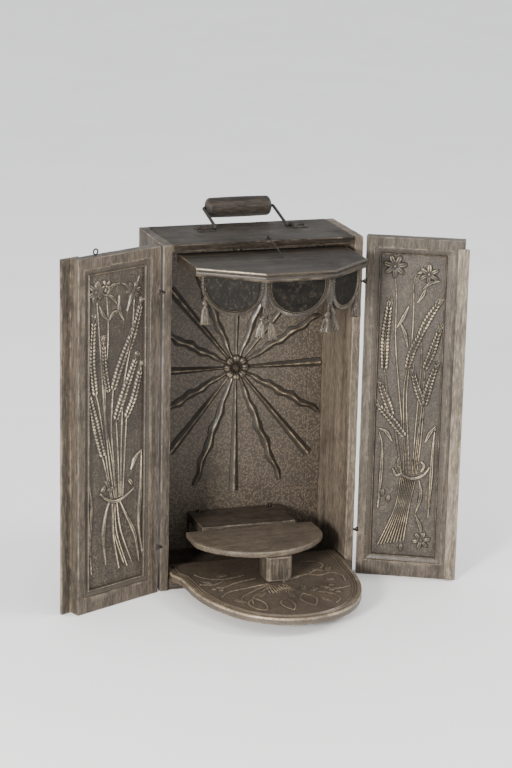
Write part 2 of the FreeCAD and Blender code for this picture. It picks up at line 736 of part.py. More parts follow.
# The hook: a loop about the staple's crown, a straight shank and a turned-down tip.
pivot = FreeCAD.Vector(number(hook_x), number(hook_y), number(hook_z))
tip_foot = DRIVING["canopy_top"] + HOOK_CLEARANCE
bend = FreeCAD.Vector(DRIVING["catch_x"], number(FRONT) + DRIVING["catch_y"],
                      tip_foot + TIP_LENGTH)
shank_way = (bend - pivot).normalize()
shank_start = pivot + shank_way * DRIVING["hook_loop"]
hook_loop = ring("hook_loop", hook_x, hook_y, hook_z, (1, 0, 0), dim("hook_loop"), dim("hook_wire"))
hook_shank = rod("hook_shank", *shank_start, shank_way, dim("hook_wire"),
                 (bend - shank_start).Length)
hook_tip = rod("hook_tip", *bend, (0, 0, -1), dim("hook_wire"), TIP_LENGTH)
hook_elbow = doc.addObject("Part::Sphere", "hook_elbow")
bind(hook_elbow, "Radius", dim("hook_wire"))
place(hook_elbow, *bend)
node("latch_hook", fuse("latch_hook_wire", [hook_loop, hook_shank, hook_elbow, hook_tip]))

# ---------------------------------------------------------------- the shelf

SHELF_OFFSETS = (-52.0, 52.0)
SHELF_EYE_SLOPE = 0.3
SHELF_NOTCH_BELOW = 1.0
SHELF_NOTCH_BACK = 12.0
SHELF_NOTCH_HEIGHT = 20.0
shelf_under = dim("shelf_top") - dim("shelf_thick")
shelf_pivot_y = FRONT + dim("shelf_axis")
shelf_corners = [(dim("shelf_half"), dim("shelf_back")), (-dim("shelf_half"), dim("shelf_back"))]
shelf_corners += rounded_front(dim("shelf_half"), dim("shelf_front"), dim("shelf_side_radius"),
                               dim("shelf_widest"))
node("shelf_board", plate("shelf_board", shelf_corners, dim("shelf_thick"), 0, FRONT, shelf_under))

BACK_PLAY = 0.6
rear_depth = dim("case_depth") - dim("back_thick") - BACK_PLAY - dim("shelf_back")
rear = box("rear_blank", -dim("rear_half"), FRONT + dim("shelf_back"), shelf_under,
           dim("rear_half") * 2, rear_depth, dim("rear_top") - shelf_under)
node("shelf_rear_board", cut("rear_cut", rear, hinge_notches(
    "rear", shelf_pivot_y, shelf_under - SHELF_NOTCH_BELOW, SHELF_NOTCH_BACK, SHELF_NOTCH_HEIGHT,
    SHELF_OFFSETS)))

BATTEN_OFFSETS = (-38.0, 44.0)
BATTEN_WIDTH = 14.0
BATTEN_THICK = 6.0
BATTEN_LENGTH = 78.0
BATTEN_AHEAD = 36.0
battens = [box("batten_%d" % index, x - BATTEN_WIDTH / 2, FRONT + dim("shelf_back") - BATTEN_AHEAD,
               shelf_under - BATTEN_THICK, BATTEN_WIDTH, BATTEN_LENGTH, BATTEN_THICK)
           for index, x in enumerate(BATTEN_OFFSETS)]
node("shelf_battens", group("battens", battens))

LEG_GAP = 0.4
LEG_CHAMFER = 3.2
LEG_AHEAD = 3.0
board_top = dim("floor_thick") + dim("board_lift") + dim("board_thick")
leg_height = shelf_under - board_top - LEG_GAP
leg_low = dim("leg_shift") - dim("leg_width") / 2
leg_high = dim("leg_shift") + dim("leg_width") / 2
leg_front = -dim("shelf_front") - LEG_AHEAD
leg_back = leg_front + dim("leg_depth")
leg_corners = [
    (leg_low + LEG_CHAMFER, leg_front), (leg_high - LEG_CHAMFER, leg_front),
    (leg_high, leg_front + LEG_CHAMFER), (leg_high, leg_back),
    (leg_low, leg_back), (leg_low, leg_front + LEG_CHAMFER)]
node("shelf_leg", plate("shelf_leg", leg_corners, leg_height, 0, FRONT, board_top + LEG_GAP))

level_hinge("shelf", shelf_pivot_y, dim("rear_top"), SHELF_OFFSETS, (0, 1, 0), (0, -1, -SHELF_EYE_SLOPE))

# ---------------------------------------------------------------- the base board

BOARD_OFFSETS = (-70.0, 70.0)
NOTCH_PAST = 2.0
board_under = dim("floor_thick") + dim("board_lift")
board_pivot_z = board_under + dim("board_thick") / 2
SHOULDER_FRONT = 22.0
SHOULDER_BACK = 6.0
SHOULDER_FLARE = 2.0
shoulder = dim("board_half") + SHOULDER_FLARE
front_corners = rounded_front(dim("board_half"), dim("board_reach"), dim("board_side_radius"),
                              -dim("board_widest"))
board_corners = [
    (dim("board_inner_half"), dim("board_axis")), (-dim("board_inner_half"), dim("board_axis")),
    (-dim("board_inner_half"), -SHOULDER_BACK), (dim("board_shift") - shoulder, -SHOULDER_FRONT)]
board_corners += [(corner[0] + dim("board_shift"), *corner[1:]) for corner in front_corners]
board_corners += [(dim("board_shift") + shoulder, -SHOULDER_FRONT),
                  (dim("board_inner_half"), -SHOULDER_BACK)]
base = plate("base_board", board_corners, dim("board_thick"), 0, FRONT, board_under)
for index, offset in enumerate(BOARD_OFFSETS):
    reach = dim("notch_width") / 2
    slot = outline(base, "base_slot_%d" % index, [
        (offset - reach, dim("board_axis") - dim("notch_reach")),
        (offset + reach, dim("board_axis") - dim("notch_reach")),
        (offset + reach, dim("board_axis") + NOTCH_PAST),
        (offset - reach, dim("board_axis") + NOTCH_PAST)])
    pocket = base.newObject("PartDesign::Pocket", "base_pocket_%d" % index)
    pocket.Profile = slot
    pocket.Type = "ThroughAll"
    pocket.Reversed = True
node("base_board", base)

level_hinge("board", FRONT + dim("board_axis"), board_pivot_z, BOARD_OFFSETS,
            (0, 0, -1), (0, -1, 0))

# ---------------------------------------------------------------- the handle

bail_y = FRONT + dim("bail_axis")
bail_z = dim("case_height") + dim("bail_wire") + dim("bail_clearance")
BEND = 3.5


def bail_path():
    """The bail's centre line, in its own plane, as straight runs joined by tangent arcs."""
    left_x = -DRIVING["bail_left"]
    right_x = DRIVING["bail_right"]
    foot = DRIVING["bail_foot"]
    reach = DRIVING["bail_reach"]
    corners = [(left_x - foot, 0), (left_x, 0), (left_x, reach), (right_x, reach),
               (right_x, 0), (right_x + foot, 0)]
    points = [FreeCAD.Vector(x, y, 0) for x, y in corners]
    edges = []
    start = points[0]
    for before, corner, after in zip(points, points[1:], points[2:]):
        entry = corner + (before - corner).normalize() * BEND
        leave = corner + (after - corner).normalize() * BEND
        inward = (entry + leave - corner * 2).normalize()
        middle = corner + inward * BEND * (math.sqrt(2) - 1)
        edges.append(Part.LineSegment(start, entry).toShape())
        edges.append(Part.Arc(entry, middle, leave).toShape())
        start = leave
    edges.append(Part.LineSegment(start, points[-1]).toShape())
    return Part.Wire(edges)


path = bail_path()
bail_end = path.Edges[0].Vertexes[0].Point
circle = Part.Wire([Part.Circle(bail_end, AXES["x"], DRIVING["bail_wire"]).toShape()])
node("handle_bail", free_shape("bail", path.makePipeShell([circle], True, True)),
     0, bail_y, bail_z, "x", dim("bail_lean"))

# The grip is a turned cylinder with rounded ends, bored for the bail. Each step of its rounding
# is how far in from the full radius and how far in from the end.
END_STEPS = ((6.3, 0), (2.25, 1.3), (0.8, 4.5), (0, 9.0))
GRIP_PLAY = 0.1
grip_radius = dim("grip_radius")
grip_half = dim("grip_length") / 2
grip_bore = dim("bail_wire") + GRIP_PLAY
grip_profile = [(grip_bore, -grip_half)]
grip_profile += [(grip_radius - inward, -grip_half + along) for inward, along in END_STEPS]
grip_profile += [(grip_radius - inward, grip_half - along) for inward, along in reversed(END_STEPS)]
grip_profile.append((grip_bore, grip_half))
grip_middle = (dim("bail_right") - dim("bail_left")) / 2
lean = math.radians(DRIVING["bail_lean"])
node("handle_grip", turned_body("handle_grip", grip_profile, grip_middle,
                                bail_y + dim("bail_reach") * math.cos(lean),
                                bail_z + dim("bail_reach") * math.sin(lean), "z", -90))

# Two sheet saddles hold the bail's feet, each with four nails.
SADDLE_LENGTH = 22.0
SADDLE_GRIP = 16.5
SADDLE_WIDTH = 27.0
SADDLE_SHEET = 1.1
SADDLE_STOP = 1.5
SADDLE_NAILS = ((4.0, -10.0), (4.0, 10.0), (17.0, -10.0), (17.0, 10.0))
SADDLE_NAIL_RADIUS = 1.5
SADDLE_NAIL_LENGTH = 8.3
SADDLE_NAIL_HEAD = 0.8
PAST = 1.0
saddle_bore = dim("bail_wire") + dim("bail_clearance")
saddle_outer = saddle_bore + SADDLE_SHEET
left_stop = -dim("bail_left") - BEND - SADDLE_STOP
right_stop = dim("bail_right") + BEND + SADDLE_STOP
saddles = []
saddle_nails = []
for name, first, grip_first in (("left", left_stop - SADDLE_LENGTH, left_stop - SADDLE_GRIP),
                                ("right", right_stop, right_stop)):
    low = first - PAST
    long = SADDLE_LENGTH + PAST * 2
    sheet_plate = box("saddle_plate_" + name, first, bail_y - SADDLE_WIDTH / 2, dim("case_height"),
                      SADDLE_LENGTH, SADDLE_WIDTH, SADDLE_SHEET)
    crown = rod("saddle_crown_" + name, grip_first, bail_y, bail_z, (1, 0, 0), saddle_outer,
                SADDLE_GRIP)
    skirt = box("saddle_skirt_" + name, grip_first, bail_y - saddle_outer, dim("case_height"),
                SADDLE_GRIP, saddle_outer * 2, saddle_bore)
    below = box("saddle_below_" + name, low, bail_y - SADDLE_WIDTH / 2,
                dim("case_height") - saddle_outer * 2, long, SADDLE_WIDTH, saddle_outer * 2)
    bore = rod("saddle_bore_" + name, low, bail_y, bail_z, (1, 0, 0), saddle_bore, long)
    slot = box("saddle_slot_" + name, low, bail_y - saddle_bore, dim("case_height") - PAST, long,
               saddle_bore * 2, saddle_bore + PAST)
    form = fuse("saddle_form_" + name, [sheet_plate, crown, skirt])
    saddles.append(cut("saddle_" + name, form, [below, bore, slot]))
    nail_foot = dim("case_height") + SADDLE_SHEET + SADDLE_NAIL_HEAD - SADDLE_NAIL_LENGTH
    for count, (along, aside) in enumerate(SADDLE_NAILS):
        saddle_nails.append(rod("saddle_nail_%s_%d" % (name, count), first + along, bail_y + aside,
                                nail_foot, (0, 0, 1), SADDLE_NAIL_RADIUS, SADDLE_NAIL_LENGTH))
node("handle_saddles", group("saddles", saddles))
node("saddle_nails", group("saddle_nail_set", saddle_nails))

# ---------------------------------------------------------------- checks and export

doc.recompute()
for thing in doc.Objects:
    if "Invalid" in thing.State or "Error" in thing.State:
        raise RuntimeError("%s failed: %s" % (thing.Name, thing.State))
os.makedirs("parts", exist_ok=True)
for thing in NODES:
    shape = thing.Shape
    if shape.isNull() or not shape.isValid() or not shape.Solids:
        raise RuntimeError("%s has no valid solid" % thing.Label)
    shape.exportStep("parts/%s.step" % thing.Label)
    print("%-24s solids %d volume %.0f" % (thing.Label, len(shape.Solids), shape.Volume))
print("%d nodes" % len(NODES))
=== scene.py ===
import json
import math

import bmesh
import bpy
import numpy as np
from mathutils import Matrix, Vector, kdtree, noise


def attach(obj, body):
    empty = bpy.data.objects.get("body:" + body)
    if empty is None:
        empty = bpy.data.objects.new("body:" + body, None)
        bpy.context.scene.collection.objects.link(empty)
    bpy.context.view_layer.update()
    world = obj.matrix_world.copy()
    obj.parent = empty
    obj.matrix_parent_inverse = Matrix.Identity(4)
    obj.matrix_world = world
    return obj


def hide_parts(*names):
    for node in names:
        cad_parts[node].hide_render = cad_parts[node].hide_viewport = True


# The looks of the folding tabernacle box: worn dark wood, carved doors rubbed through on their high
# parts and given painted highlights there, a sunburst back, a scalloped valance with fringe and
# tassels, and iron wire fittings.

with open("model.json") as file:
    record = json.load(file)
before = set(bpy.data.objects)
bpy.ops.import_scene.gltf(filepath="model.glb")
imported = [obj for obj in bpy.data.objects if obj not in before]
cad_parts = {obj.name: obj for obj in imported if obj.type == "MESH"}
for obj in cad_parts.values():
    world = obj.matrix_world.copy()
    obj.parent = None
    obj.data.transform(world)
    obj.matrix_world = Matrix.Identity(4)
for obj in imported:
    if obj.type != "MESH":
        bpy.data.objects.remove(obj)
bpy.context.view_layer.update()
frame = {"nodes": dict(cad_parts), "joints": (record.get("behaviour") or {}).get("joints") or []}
nodes = frame["nodes"]
MM = 0.001
X_AXIS = Vector((1, 0, 0))
Y_AXIS = Vector((0, 1, 0))
Z_AXIS = Vector((0, 0, 1))


# ---------------------------------------------------------------- materials

MATERIALS = {}
# How fast the wood's noises change along its grain and across it.
GRAIN = (5.0, 75.0)
PORES = (14.0, 420.0)
STREAKS = (9.0, 160.0)
SCUFFS = (75.0, 430.0)
# Tones taken from a material's own: the wood's pores and bright streaks, and the carving's darker tone,
# which paints shade in its pits and also serves for its grime, cuts and bare grain.
PORE_SHADE = 0.42
STREAK_LIGHT = 1.5
SHADE_AND_GRIME_TONE = 0.35
GILDING = 0.25


class Shader:
    """A material and short ways to add nodes to it."""

    def __init__(self, name):
        self.name = name
        self.material = bpy.data.materials.new(name)
        self.material.use_nodes = True
        self.tree = self.material.node_tree
        self.surface = self.tree.nodes["Principled BSDF"]
        self.coordinates = self.tree.nodes.new("ShaderNodeTexCoord").outputs["Object"]

    def link(self, source, target):
        """Feeds an input from a number, a colour or another node."""
        if isinstance(source, (int, float)):
            target.default_value = source
        elif isinstance(source, tuple):
            target.default_value = (*source, 1.0)
        else:
            self.tree.links.new(source, target)

    def node(self, kind, output, inputs, **settings):
        """Adds a node with its settings and inputs, and gives one of its outputs."""
        added = self.tree.nodes.new("ShaderNode" + kind)
        for key, value in settings.items():
            setattr(added, key, value)
        for key, source in inputs.items():
            self.link(source, added.inputs[key])
        return added.outputs[output]

    def noise(self, scale, detail, roughness, where=None, distortion=0.0):
        return self.node("TexNoise", "Fac", {
            "Scale": scale, "Detail": detail, "Roughness": roughness, "Distortion": distortion,
            "Vector": where or self.coordinates})

    def drawn_out(self, along, rates, detail, roughness=0.6, distortion=0.0):
        """Noise that changes at one rate along an axis and at another across it."""
        rate_along, rate_across = rates
        mapping = self.tree.nodes.new("ShaderNodeMapping")
        mapping.inputs["Scale"].default_value = [rate_along if axis == along else rate_across
                                                 for axis in "xyz"]
        self.link(self.coordinates, mapping.inputs["Vector"])
        return self.noise(1.0, detail, roughness, mapping.outputs["Vector"], distortion)

    def cells(self, scale):
        """How far each spot is from the nearest of many scattered points."""
        return self.node("TexVoronoi", "Distance", {"Scale": scale, "Vector": self.coordinates})

    def attribute(self, name):
        return self.node("Attribute", "Fac", {}, attribute_name=name)

    def span(self, value, low, high, to_low=0.0, to_high=1.0):
        """A value from one range carried to another, kept inside it."""
        return self.node("MapRange", "Result", {
            "Value": value, "From Min": low, "From Max": high, "To Min": to_low, "To Max": to_high})

    def combine(self, operation, first, second):
        return self.node("Math", "Value", {0: first, 1: second}, operation=operation)

    def blend(self, share, first, second):
        return self.node("Mix", "Result", {"Factor": share, "A": first, "B": second},
                         data_type="RGBA")

    def cover(self, colour, tone, value, start, full, most=1.0):
        """A tone laid over a colour: none of it where a value is at start, most of it at full."""
        return self.blend(self.span(value, start, full, 0.0, most), colour, tone)

    def bumps(self, *layers):
        """A surface raised by one height after another, each with its strength and distance."""
        normal = None
        for height, strength, distance in layers:
            inputs = {"Height": height, "Strength": strength, "Distance": distance}
            if normal:
                inputs["Normal"] = normal
            normal = self.node("Bump", "Normal", inputs)
        return normal

    def finish(self, **inputs):
        """Sets the surface's inputs and keeps the material under its name."""
        for name, value in inputs.items():
            self.link(value, self.surface.inputs[name.replace("_", " ")])
        MATERIALS[self.name] = self.material
        return self.material


def wood(name, dark, light, worn, along, roughness=(0.45, 0.70), edge=0.7, shine=0.3):
    """Old waxed wood: long grain along one axis, pores, grime, scuffs, and pale worn edges."""
    shader = Shader(name)
    grain = shader.drawn_out(along, GRAIN, 6.0, distortion=0.6)
    pores = shader.drawn_out(along, PORES, 3.0)
    streaks = shader.drawn_out(along, STREAKS, 4.0)
    scuffs = shader.drawn_out(along, SCUFFS, 5.0, 0.75)
    grime = shader.noise(14.0, 5.0, 0.6)
    patches = shader.noise(120.0, 6.0, 0.7)
    breaks = shader.noise(26.0, 5.0, 0.65)
    deep = tuple(part * PORE_SHADE for part in dark)
    pale = tuple(part * STREAK_LIGHT for part in light)
    colour = shader.cover(dark, light, grain, 0.34, 0.66)
    for tone, value, start, full, most in ((deep, pores, 0.52, 0.70, 0.60),
                                           (deep, grime, 0.50, 0.72, 0.75),
                                           (pale, streaks, 0.56, 0.74, 0.35),
                                           (deep, scuffs, 0.48, 0.62, 0.55),
                                           (pale, scuffs, 0.47, 0.36, 0.55)):
        colour = shader.cover(colour, tone, value, start, full, most)
    ragged = shader.combine("MULTIPLY", shader.attribute("wear"),
                            shader.span(breaks, 0.40, 0.62, 0.25, 1.2))
    ragged = shader.combine("MULTIPLY", ragged, shader.span(patches, 0.30, 0.60, 0.6, 1.1))
    colour = shader.cover(colour, worn, ragged, 0.25, 0.95, edge)
    bumps = shader.bumps((pores, 0.32, 0.0006), (grain, 0.35, 0.0010), (patches, 0.16, 0.0012),
                         (scuffs, 0.30, 0.0005))
    shader.finish(Base_Color=colour, Roughness=shader.span(grime, 0.3, 0.7, *roughness), Normal=bumps,
                  Specular_IOR_Level=shine)


def carved(name, ground, body, rubbed_and_highlit, stipple, edge=1.0, bare=None):
    """Carved and gilded wood: dark in the ground, with painted shade in its punched pits, bronze on the
    motifs, and bright on proud parts as rubbed gilding with painted highlights. With a bare tone,
    faces at PLAIN_RELIEF and above are ungilded wood with upright grain."""
    shader = Shader(name)
    relief = shader.attribute("relief")
    mottle = shader.noise(60.0, 6.0, 0.65)
    grime = shader.noise(17.0, 5.0, 0.6)
    handled = shader.noise(22.0, 5.0, 0.6)
    cuts = shader.noise(640.0, 4.0, 0.7)
    specks = shader.cells(stipple)
    # A darker tone: painted shade in the pits, and the grime, cuts and bare grain.
    hollow = tuple(part * SHADE_AND_GRIME_TONE for part in ground)
    lifted = shader.combine("ADD", relief, shader.span(mottle, 0.3, 0.7, -0.14, 0.14))
    proud = shader.combine("ADD", lifted, shader.span(handled, 0.36, 0.64, -0.30, 0.07))
    # Painted shade: the punched pits in the low ground are darkened.
    low = shader.combine("SUBTRACT", 1.0, shader.span(relief, 0.0, 0.25))
    pit_shade = shader.combine("MULTIPLY", low, shader.span(specks, 0.34, 0.62, 0.0, 0.85))
    colour = shader.cover(ground, body, lifted, 0.02, 0.42)
    # Proud parts turn bright: rubbed gilding, with a painted highlight.
    colour = shader.cover(colour, rubbed_and_highlit, proud, 0.40, 0.86, 0.9)
    colour = shader.blend(pit_shade, colour, hollow)
    if bare:
        grain = shader.drawn_out("z", GRAIN, 6.0, distortion=0.6)
        board = shader.cover(hollow, bare, grain, 0.36, 0.64)
        colour = shader.cover(colour, board, relief, 0.10, 0.25)
    colour = shader.cover(colour, hollow, grime, 0.50, 0.74, 0.6)
    ragged = shader.combine("MULTIPLY", shader.attribute("wear"),
                            shader.span(mottle, 0.32, 0.62, 0.3, 1.1))
    colour = shader.cover(colour, rubbed_and_highlit, ragged, 0.3, 0.95, edge)
    colour = shader.cover(colour, hollow, cuts, 0.48, 0.58, 0.7)
    dented = shader.combine("MAXIMUM", shader.span(specks, 0.05, 0.6), shader.span(relief, 0.0, 0.3))
    bumps = shader.bumps((dented, 0.45, 0.0009), (mottle, 0.25, 0.0010), (cuts, 0.40, 0.0004))
    shader.finish(Base_Color=colour, Roughness=shader.span(lifted, 0.15, 0.85, 0.55, 0.26),
                  Normal=bumps, Metallic=GILDING, Coat_Weight=0.12, Coat_Roughness=0.25)


def painted(name):
    """The valance's dark painted fields, with a faint rubbed pattern."""
    shader = Shader(name)
    bloom = shader.noise(85.0, 5.0, 0.7)
    bands = shader.drawn_out("z", (160.0, 30.0), 5.0)
    scratches = shader.drawn_out("z", (150.0, 300.0), 5.0, 0.65)
    colour = shader.cover((0.002, 0.0016, 0.0012), (0.008, 0.0063, 0.0047), bands, 0.35, 0.7)
    colour = shader.cover(colour, (0.026, 0.021, 0.015), bloom, 0.52, 0.68, 0.6)
    colour = shader.cover(colour, (0.060, 0.048, 0.035), scratches, 0.56, 0.70, 0.5)
    shader.finish(Base_Color=colour, Roughness=shader.span(bands, 0.3, 0.7, 0.5, 0.7),
                  Normal=shader.bumps((bloom, 0.3, 0.0008)), Specular_IOR_Level=0.12)


def iron(name):
    """Wrought wire and sheet, with rust and handled bright spots."""
    shader = Shader(name)
    rust = shader.noise(140.0, 6.0, 0.7)
    handled = shader.noise(38.0, 4.0, 0.6)
    colour = shader.cover((0.010, 0.009, 0.008), (0.042, 0.030, 0.022), rust, 0.40, 0.68)
    colour = shader.cover(colour, (0.13, 0.125, 0.118), handled, 0.57, 0.74, 0.6)
    shader.finish(Base_Color=colour, Roughness=shader.span(rust, 0.3, 0.7, 0.40, 0.70),
                  Normal=shader.bumps((rust, 0.5, 0.0006)), Metallic=0.55)


wood("case_upright", (0.030, 0.023, 0.017), (0.086, 0.067, 0.048), (0.22, 0.18, 0.135), "z")
# A lighter copy of the upright wood for the right side board: painted light on its inner face.
wood("case_side_painted_light", (0.066, 0.052, 0.039), (0.150, 0.119, 0.087), (0.24, 0.195, 0.145), "z", shine=0.2)
wood("case_level", (0.025, 0.019, 0.014), (0.062, 0.048, 0.034), (0.19, 0.155, 0.115), "x")
# The top board's tone is kept dark, which paints shade on its upper face.
wood("case_top_painted_shade", (0.012, 0.009, 0.0065), (0.036, 0.028, 0.020), (0.17, 0.135, 0.10), "x", shine=0.12)
wood("door", (0.034, 0.027, 0.020), (0.094, 0.073, 0.053), (0.25, 0.205, 0.15), "z", edge=0.5)
wood("strip", (0.090, 0.072, 0.053), (0.220, 0.176, 0.130), (0.32, 0.265, 0.20), "z")
# The canopy's tone is kept dark, which paints shade on its upper face.
wood("canopy", (0.013, 0.010, 0.0075), (0.036, 0.028, 0.020), (0.16, 0.13, 0.095), "x",
     roughness=(0.50, 0.66), shine=0.16)
wood("shelf", (0.070, 0.055, 0.040), (0.104, 0.082, 0.060), (0.20, 0.165, 0.12), "x",
     roughness=(0.40, 0.55), shine=0.25)
wood("grip", (0.009, 0.007, 0.005), (0.036, 0.028, 0.021), (0.09, 0.07, 0.05), "x", shine=0.25)
carved("carved", (0.032, 0.025, 0.017), (0.072, 0.055, 0.037), (0.62, 0.50, 0.33), 430.0)
carved("back", (0.110, 0.084, 0.058), (0.150, 0.115, 0.078), (0.42, 0.33, 0.22), 330.0, edge=0.0,
       bare=(0.070, 0.055, 0.041))
carved("board", (0.078, 0.060, 0.042), (0.140, 0.108, 0.074), (0.44, 0.35, 0.23), 700.0)
carved("ray", (0.034, 0.026, 0.018), (0.090, 0.069, 0.046), (0.50, 0.40, 0.26), 900.0)
carved("gilt_edge", (0.034, 0.026, 0.018), (0.066, 0.050, 0.034), (0.34, 0.27, 0.18), 900.0, edge=0.45)
carved("fringe", (0.012, 0.009, 0.006), (0.040, 0.030, 0.020), (0.19, 0.152, 0.103), 900.0)
painted("painted")
iron("iron")


def dress(piece, material):
    piece.data.materials.clear()
    piece.data.materials.append(MATERIALS[material])


# ---------------------------------------------------------------- mesh helpers

def placed(name, data):
    """An object in the scene, made from a mesh, a lamp or a camera."""
    thing = bpy.data.objects.new(name, data)
    bpy.context.scene.collection.objects.link(thing)
    return thing


def add_piece(name, mesh, body, material, stands_for=(), sharp=40.0):
    """A finished mesh as a piece on a body, with its material."""
    mesh.shade_smooth()
    mesh.set_sharp_from_angle(angle=math.radians(sharp))
    piece = placed(name, mesh)
    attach(piece, body)
    dress(piece, material)
    if stands_for:
        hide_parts(*stands_for)
    return piece


def set_attribute(mesh, name, values):
    """Gives each point of a mesh a number of its own."""
    layer = mesh.attributes.new(name, "FLOAT", "POINT")
    layer.data.foreach_set("value", np.asarray(values, dtype=np.float32).ravel())


def grid_mesh(name, points, wrap_columns=False, facing=None, **attributes):
    """A mesh from rows and columns of points, with attributes for each point. Most of its faces
    look the way that facing says."""
    rows, columns = points.shape[:2]
    index = np.arange(rows * columns).reshape(rows, columns)
    here, down = index[:-1], index[1:]
    if wrap_columns:
        quads = (here, np.roll(here, -1, 1), np.roll(down, -1, 1), down)
    else:
        quads = (here[:, :-1], here[:, 1:], down[:, 1:], down[:, :-1])
    faces = np.stack([part.ravel() for part in quads], axis=1)
    mesh = bpy.data.meshes.new(name)
    flat = points.reshape(-1, 3).astype(np.float32)
    if facing is not None:
        corner = flat[faces[:, 0]]
        normals = np.cross(flat[faces[:, 1]] - corner, flat[faces[:, 3]] - corner)
        if (normals @ np.array(facing)).sum() < 0:
            faces = faces[:, ::-1]
    mesh.vertices.add(len(flat))
    mesh.vertices.foreach_set("co", flat.ravel())
    mesh.loops.add(faces.size)
    mesh.loops.foreach_set("vertex_index", faces.ravel().astype(np.int32))
    mesh.polygons.add(len(faces))
    mesh.polygons.foreach_set("loop_start", np.arange(0, faces.size, 4, dtype=np.int32))
    mesh.update(calc_edges=True)
    for key, values in attributes.items():
        set_attribute(mesh, key, values)
    mesh.validate()
    return mesh


def close_ends(mesh):
    """Caps the open ends of a tube-like mesh and turns every face outwards."""
    bm = bmesh.new()
    bm.from_mesh(mesh)
    bmesh.ops.holes_fill(bm, edges=[edge for edge in bm.edges if edge.is_boundary], sides=0)
    bmesh.ops.recalc_face_normals(bm, faces=bm.faces)
    bm.to_mesh(mesh)
    bm.free()
    return mesh


def joined(name, meshes, weld=0.0):
    """Several meshes as one, with their attributes kept, welded where they meet if asked."""
    bm = bmesh.new()
    for mesh in meshes:
        bm.from_mesh(mesh)
    if weld:
        bmesh.ops.remove_doubles(bm, verts=bm.verts, dist=weld)
        bmesh.ops.recalc_face_normals(bm, faces=bm.faces)
    whole = bpy.data.meshes.new(name)
    bm.to_mesh(whole)
    bm.free()
    return whole


def extent(node, inverse=None):
    """Lowest and highest corner of a CAD node, in the shared frame or in a frame of its own."""
    data = nodes[node].data
    points = np.empty(len(data.vertices) * 3, dtype=np.float32)
    data.vertices.foreach_get("co", points)
    points = points.reshape(-1, 3)
    if inverse:
        points = transformed(points, inverse)
    return Vector(points.min(0)), Vector(points.max(0))


def transformed(points, matrix):
    """Points of any grid shape, carried by a matrix."""
    turned = np.array(matrix)
    return points @ turned[:3, :3].T + turned[:3, 3]


def nearest_tree(points):
    """A tree that finds the nearest of some points."""
    tree = kdtree.KDTree(len(points))
    for index, point in enumerate(points):
        tree.insert(point, index)
    tree.balance()
    return tree


def ramp(value, start, end):
    """0 up to start, 1 from end on, and even between them."""
    return np.clip((value - start) / (end - start), 0, 1)


def dome(value):
    """1 at 0, falling in a quarter circle to 0 at 1."""
    return np.sqrt(np.clip(1 - value ** 2, 0, 1))


def ridge(value, centre, width):
    """1 at a centre, falling softly to nothing on both sides."""
    return np.exp(-((value - centre) / width) ** 2)


def round_grid(rings, turns):
    """Shares along a turned piece and angles about it, as a column and a row."""
    share = np.linspace(0, 1, rings)[:, None]
    return share, np.linspace(0, 2 * math.pi, turns, endpoint=False)[None]


# ---------------------------------------------------------------- worn joinery

SHARP_ANGLE = math.radians(35)
FLAT_ANGLE = math.radians(2)
WELD = 1e-5
EDGE_SAMPLE = 2 * MM
WEAR_REACH = 1.8 * MM
ON_PLANE = 1e-6
# How closely nicks follow one another along the edges and waves over the faces, and their depth.
NICK_RATE = 55
NICK_SHARE = 0.25
WAVE_RATE = 14
WAVE_DEPTH = 0.12 * MM


def edge_tree(edges):
    """A tree of points sampled along some edges."""
    samples = []
    for edge in edges:
        first, last = (vertex.co.copy() for vertex in edge.verts)
        steps = max(1, int((last - first).length / EDGE_SAMPLE))
        samples += [first.lerp(last, step / steps) for step in range(steps + 1)]
    return nearest_tree(samples)


def slice_up(bm, cell, margin):
    """Cuts a solid into cells along each axis, and once more at a margin inside each end."""
    for axis, normal in enumerate((X_AXIS, Y_AXIS, Z_AXIS)):
        places = [vertex.co[axis] for vertex in bm.verts]
        low, length = min(places), max(places) - min(places)
        count = int(length / cell)
        cuts = [length * step / count for step in range(1, count)]
        if length > 3 * margin:
            cuts += [margin, length - margin]
        for cut in cuts:
            bmesh.ops.bisect_plane(bm, geom=bm.verts[:] + bm.edges[:] + bm.faces[:], dist=ON_PLANE,
                                   plane_co=normal * (low + cut), plane_no=normal)


def weather(bm, edges, margin, chip, shift):
    """Nicks the edges and makes the faces uneven. Gives each point's wear: 1 along the edges."""
    bmesh.ops.recalc_face_normals(bm, faces=bm.faces)
    bm.normal_update()
    wears, moves = [], []
    for vertex in bm.verts:
        wear = max(0.0, 1.0 - edges.find(vertex.co)[2] / margin)
        nick = max(0.0, noise.noise(vertex.co * NICK_RATE + shift) + NICK_SHARE)
        wave = max(0.0, noise.noise(vertex.co * WAVE_RATE + shift))
        moves.append(vertex.normal * -(wear * chip * nick + WAVE_DEPTH * wave))
        wears.append(wear)
    for vertex, move in zip(bm.verts, moves):
        vertex.co += move
    return wears


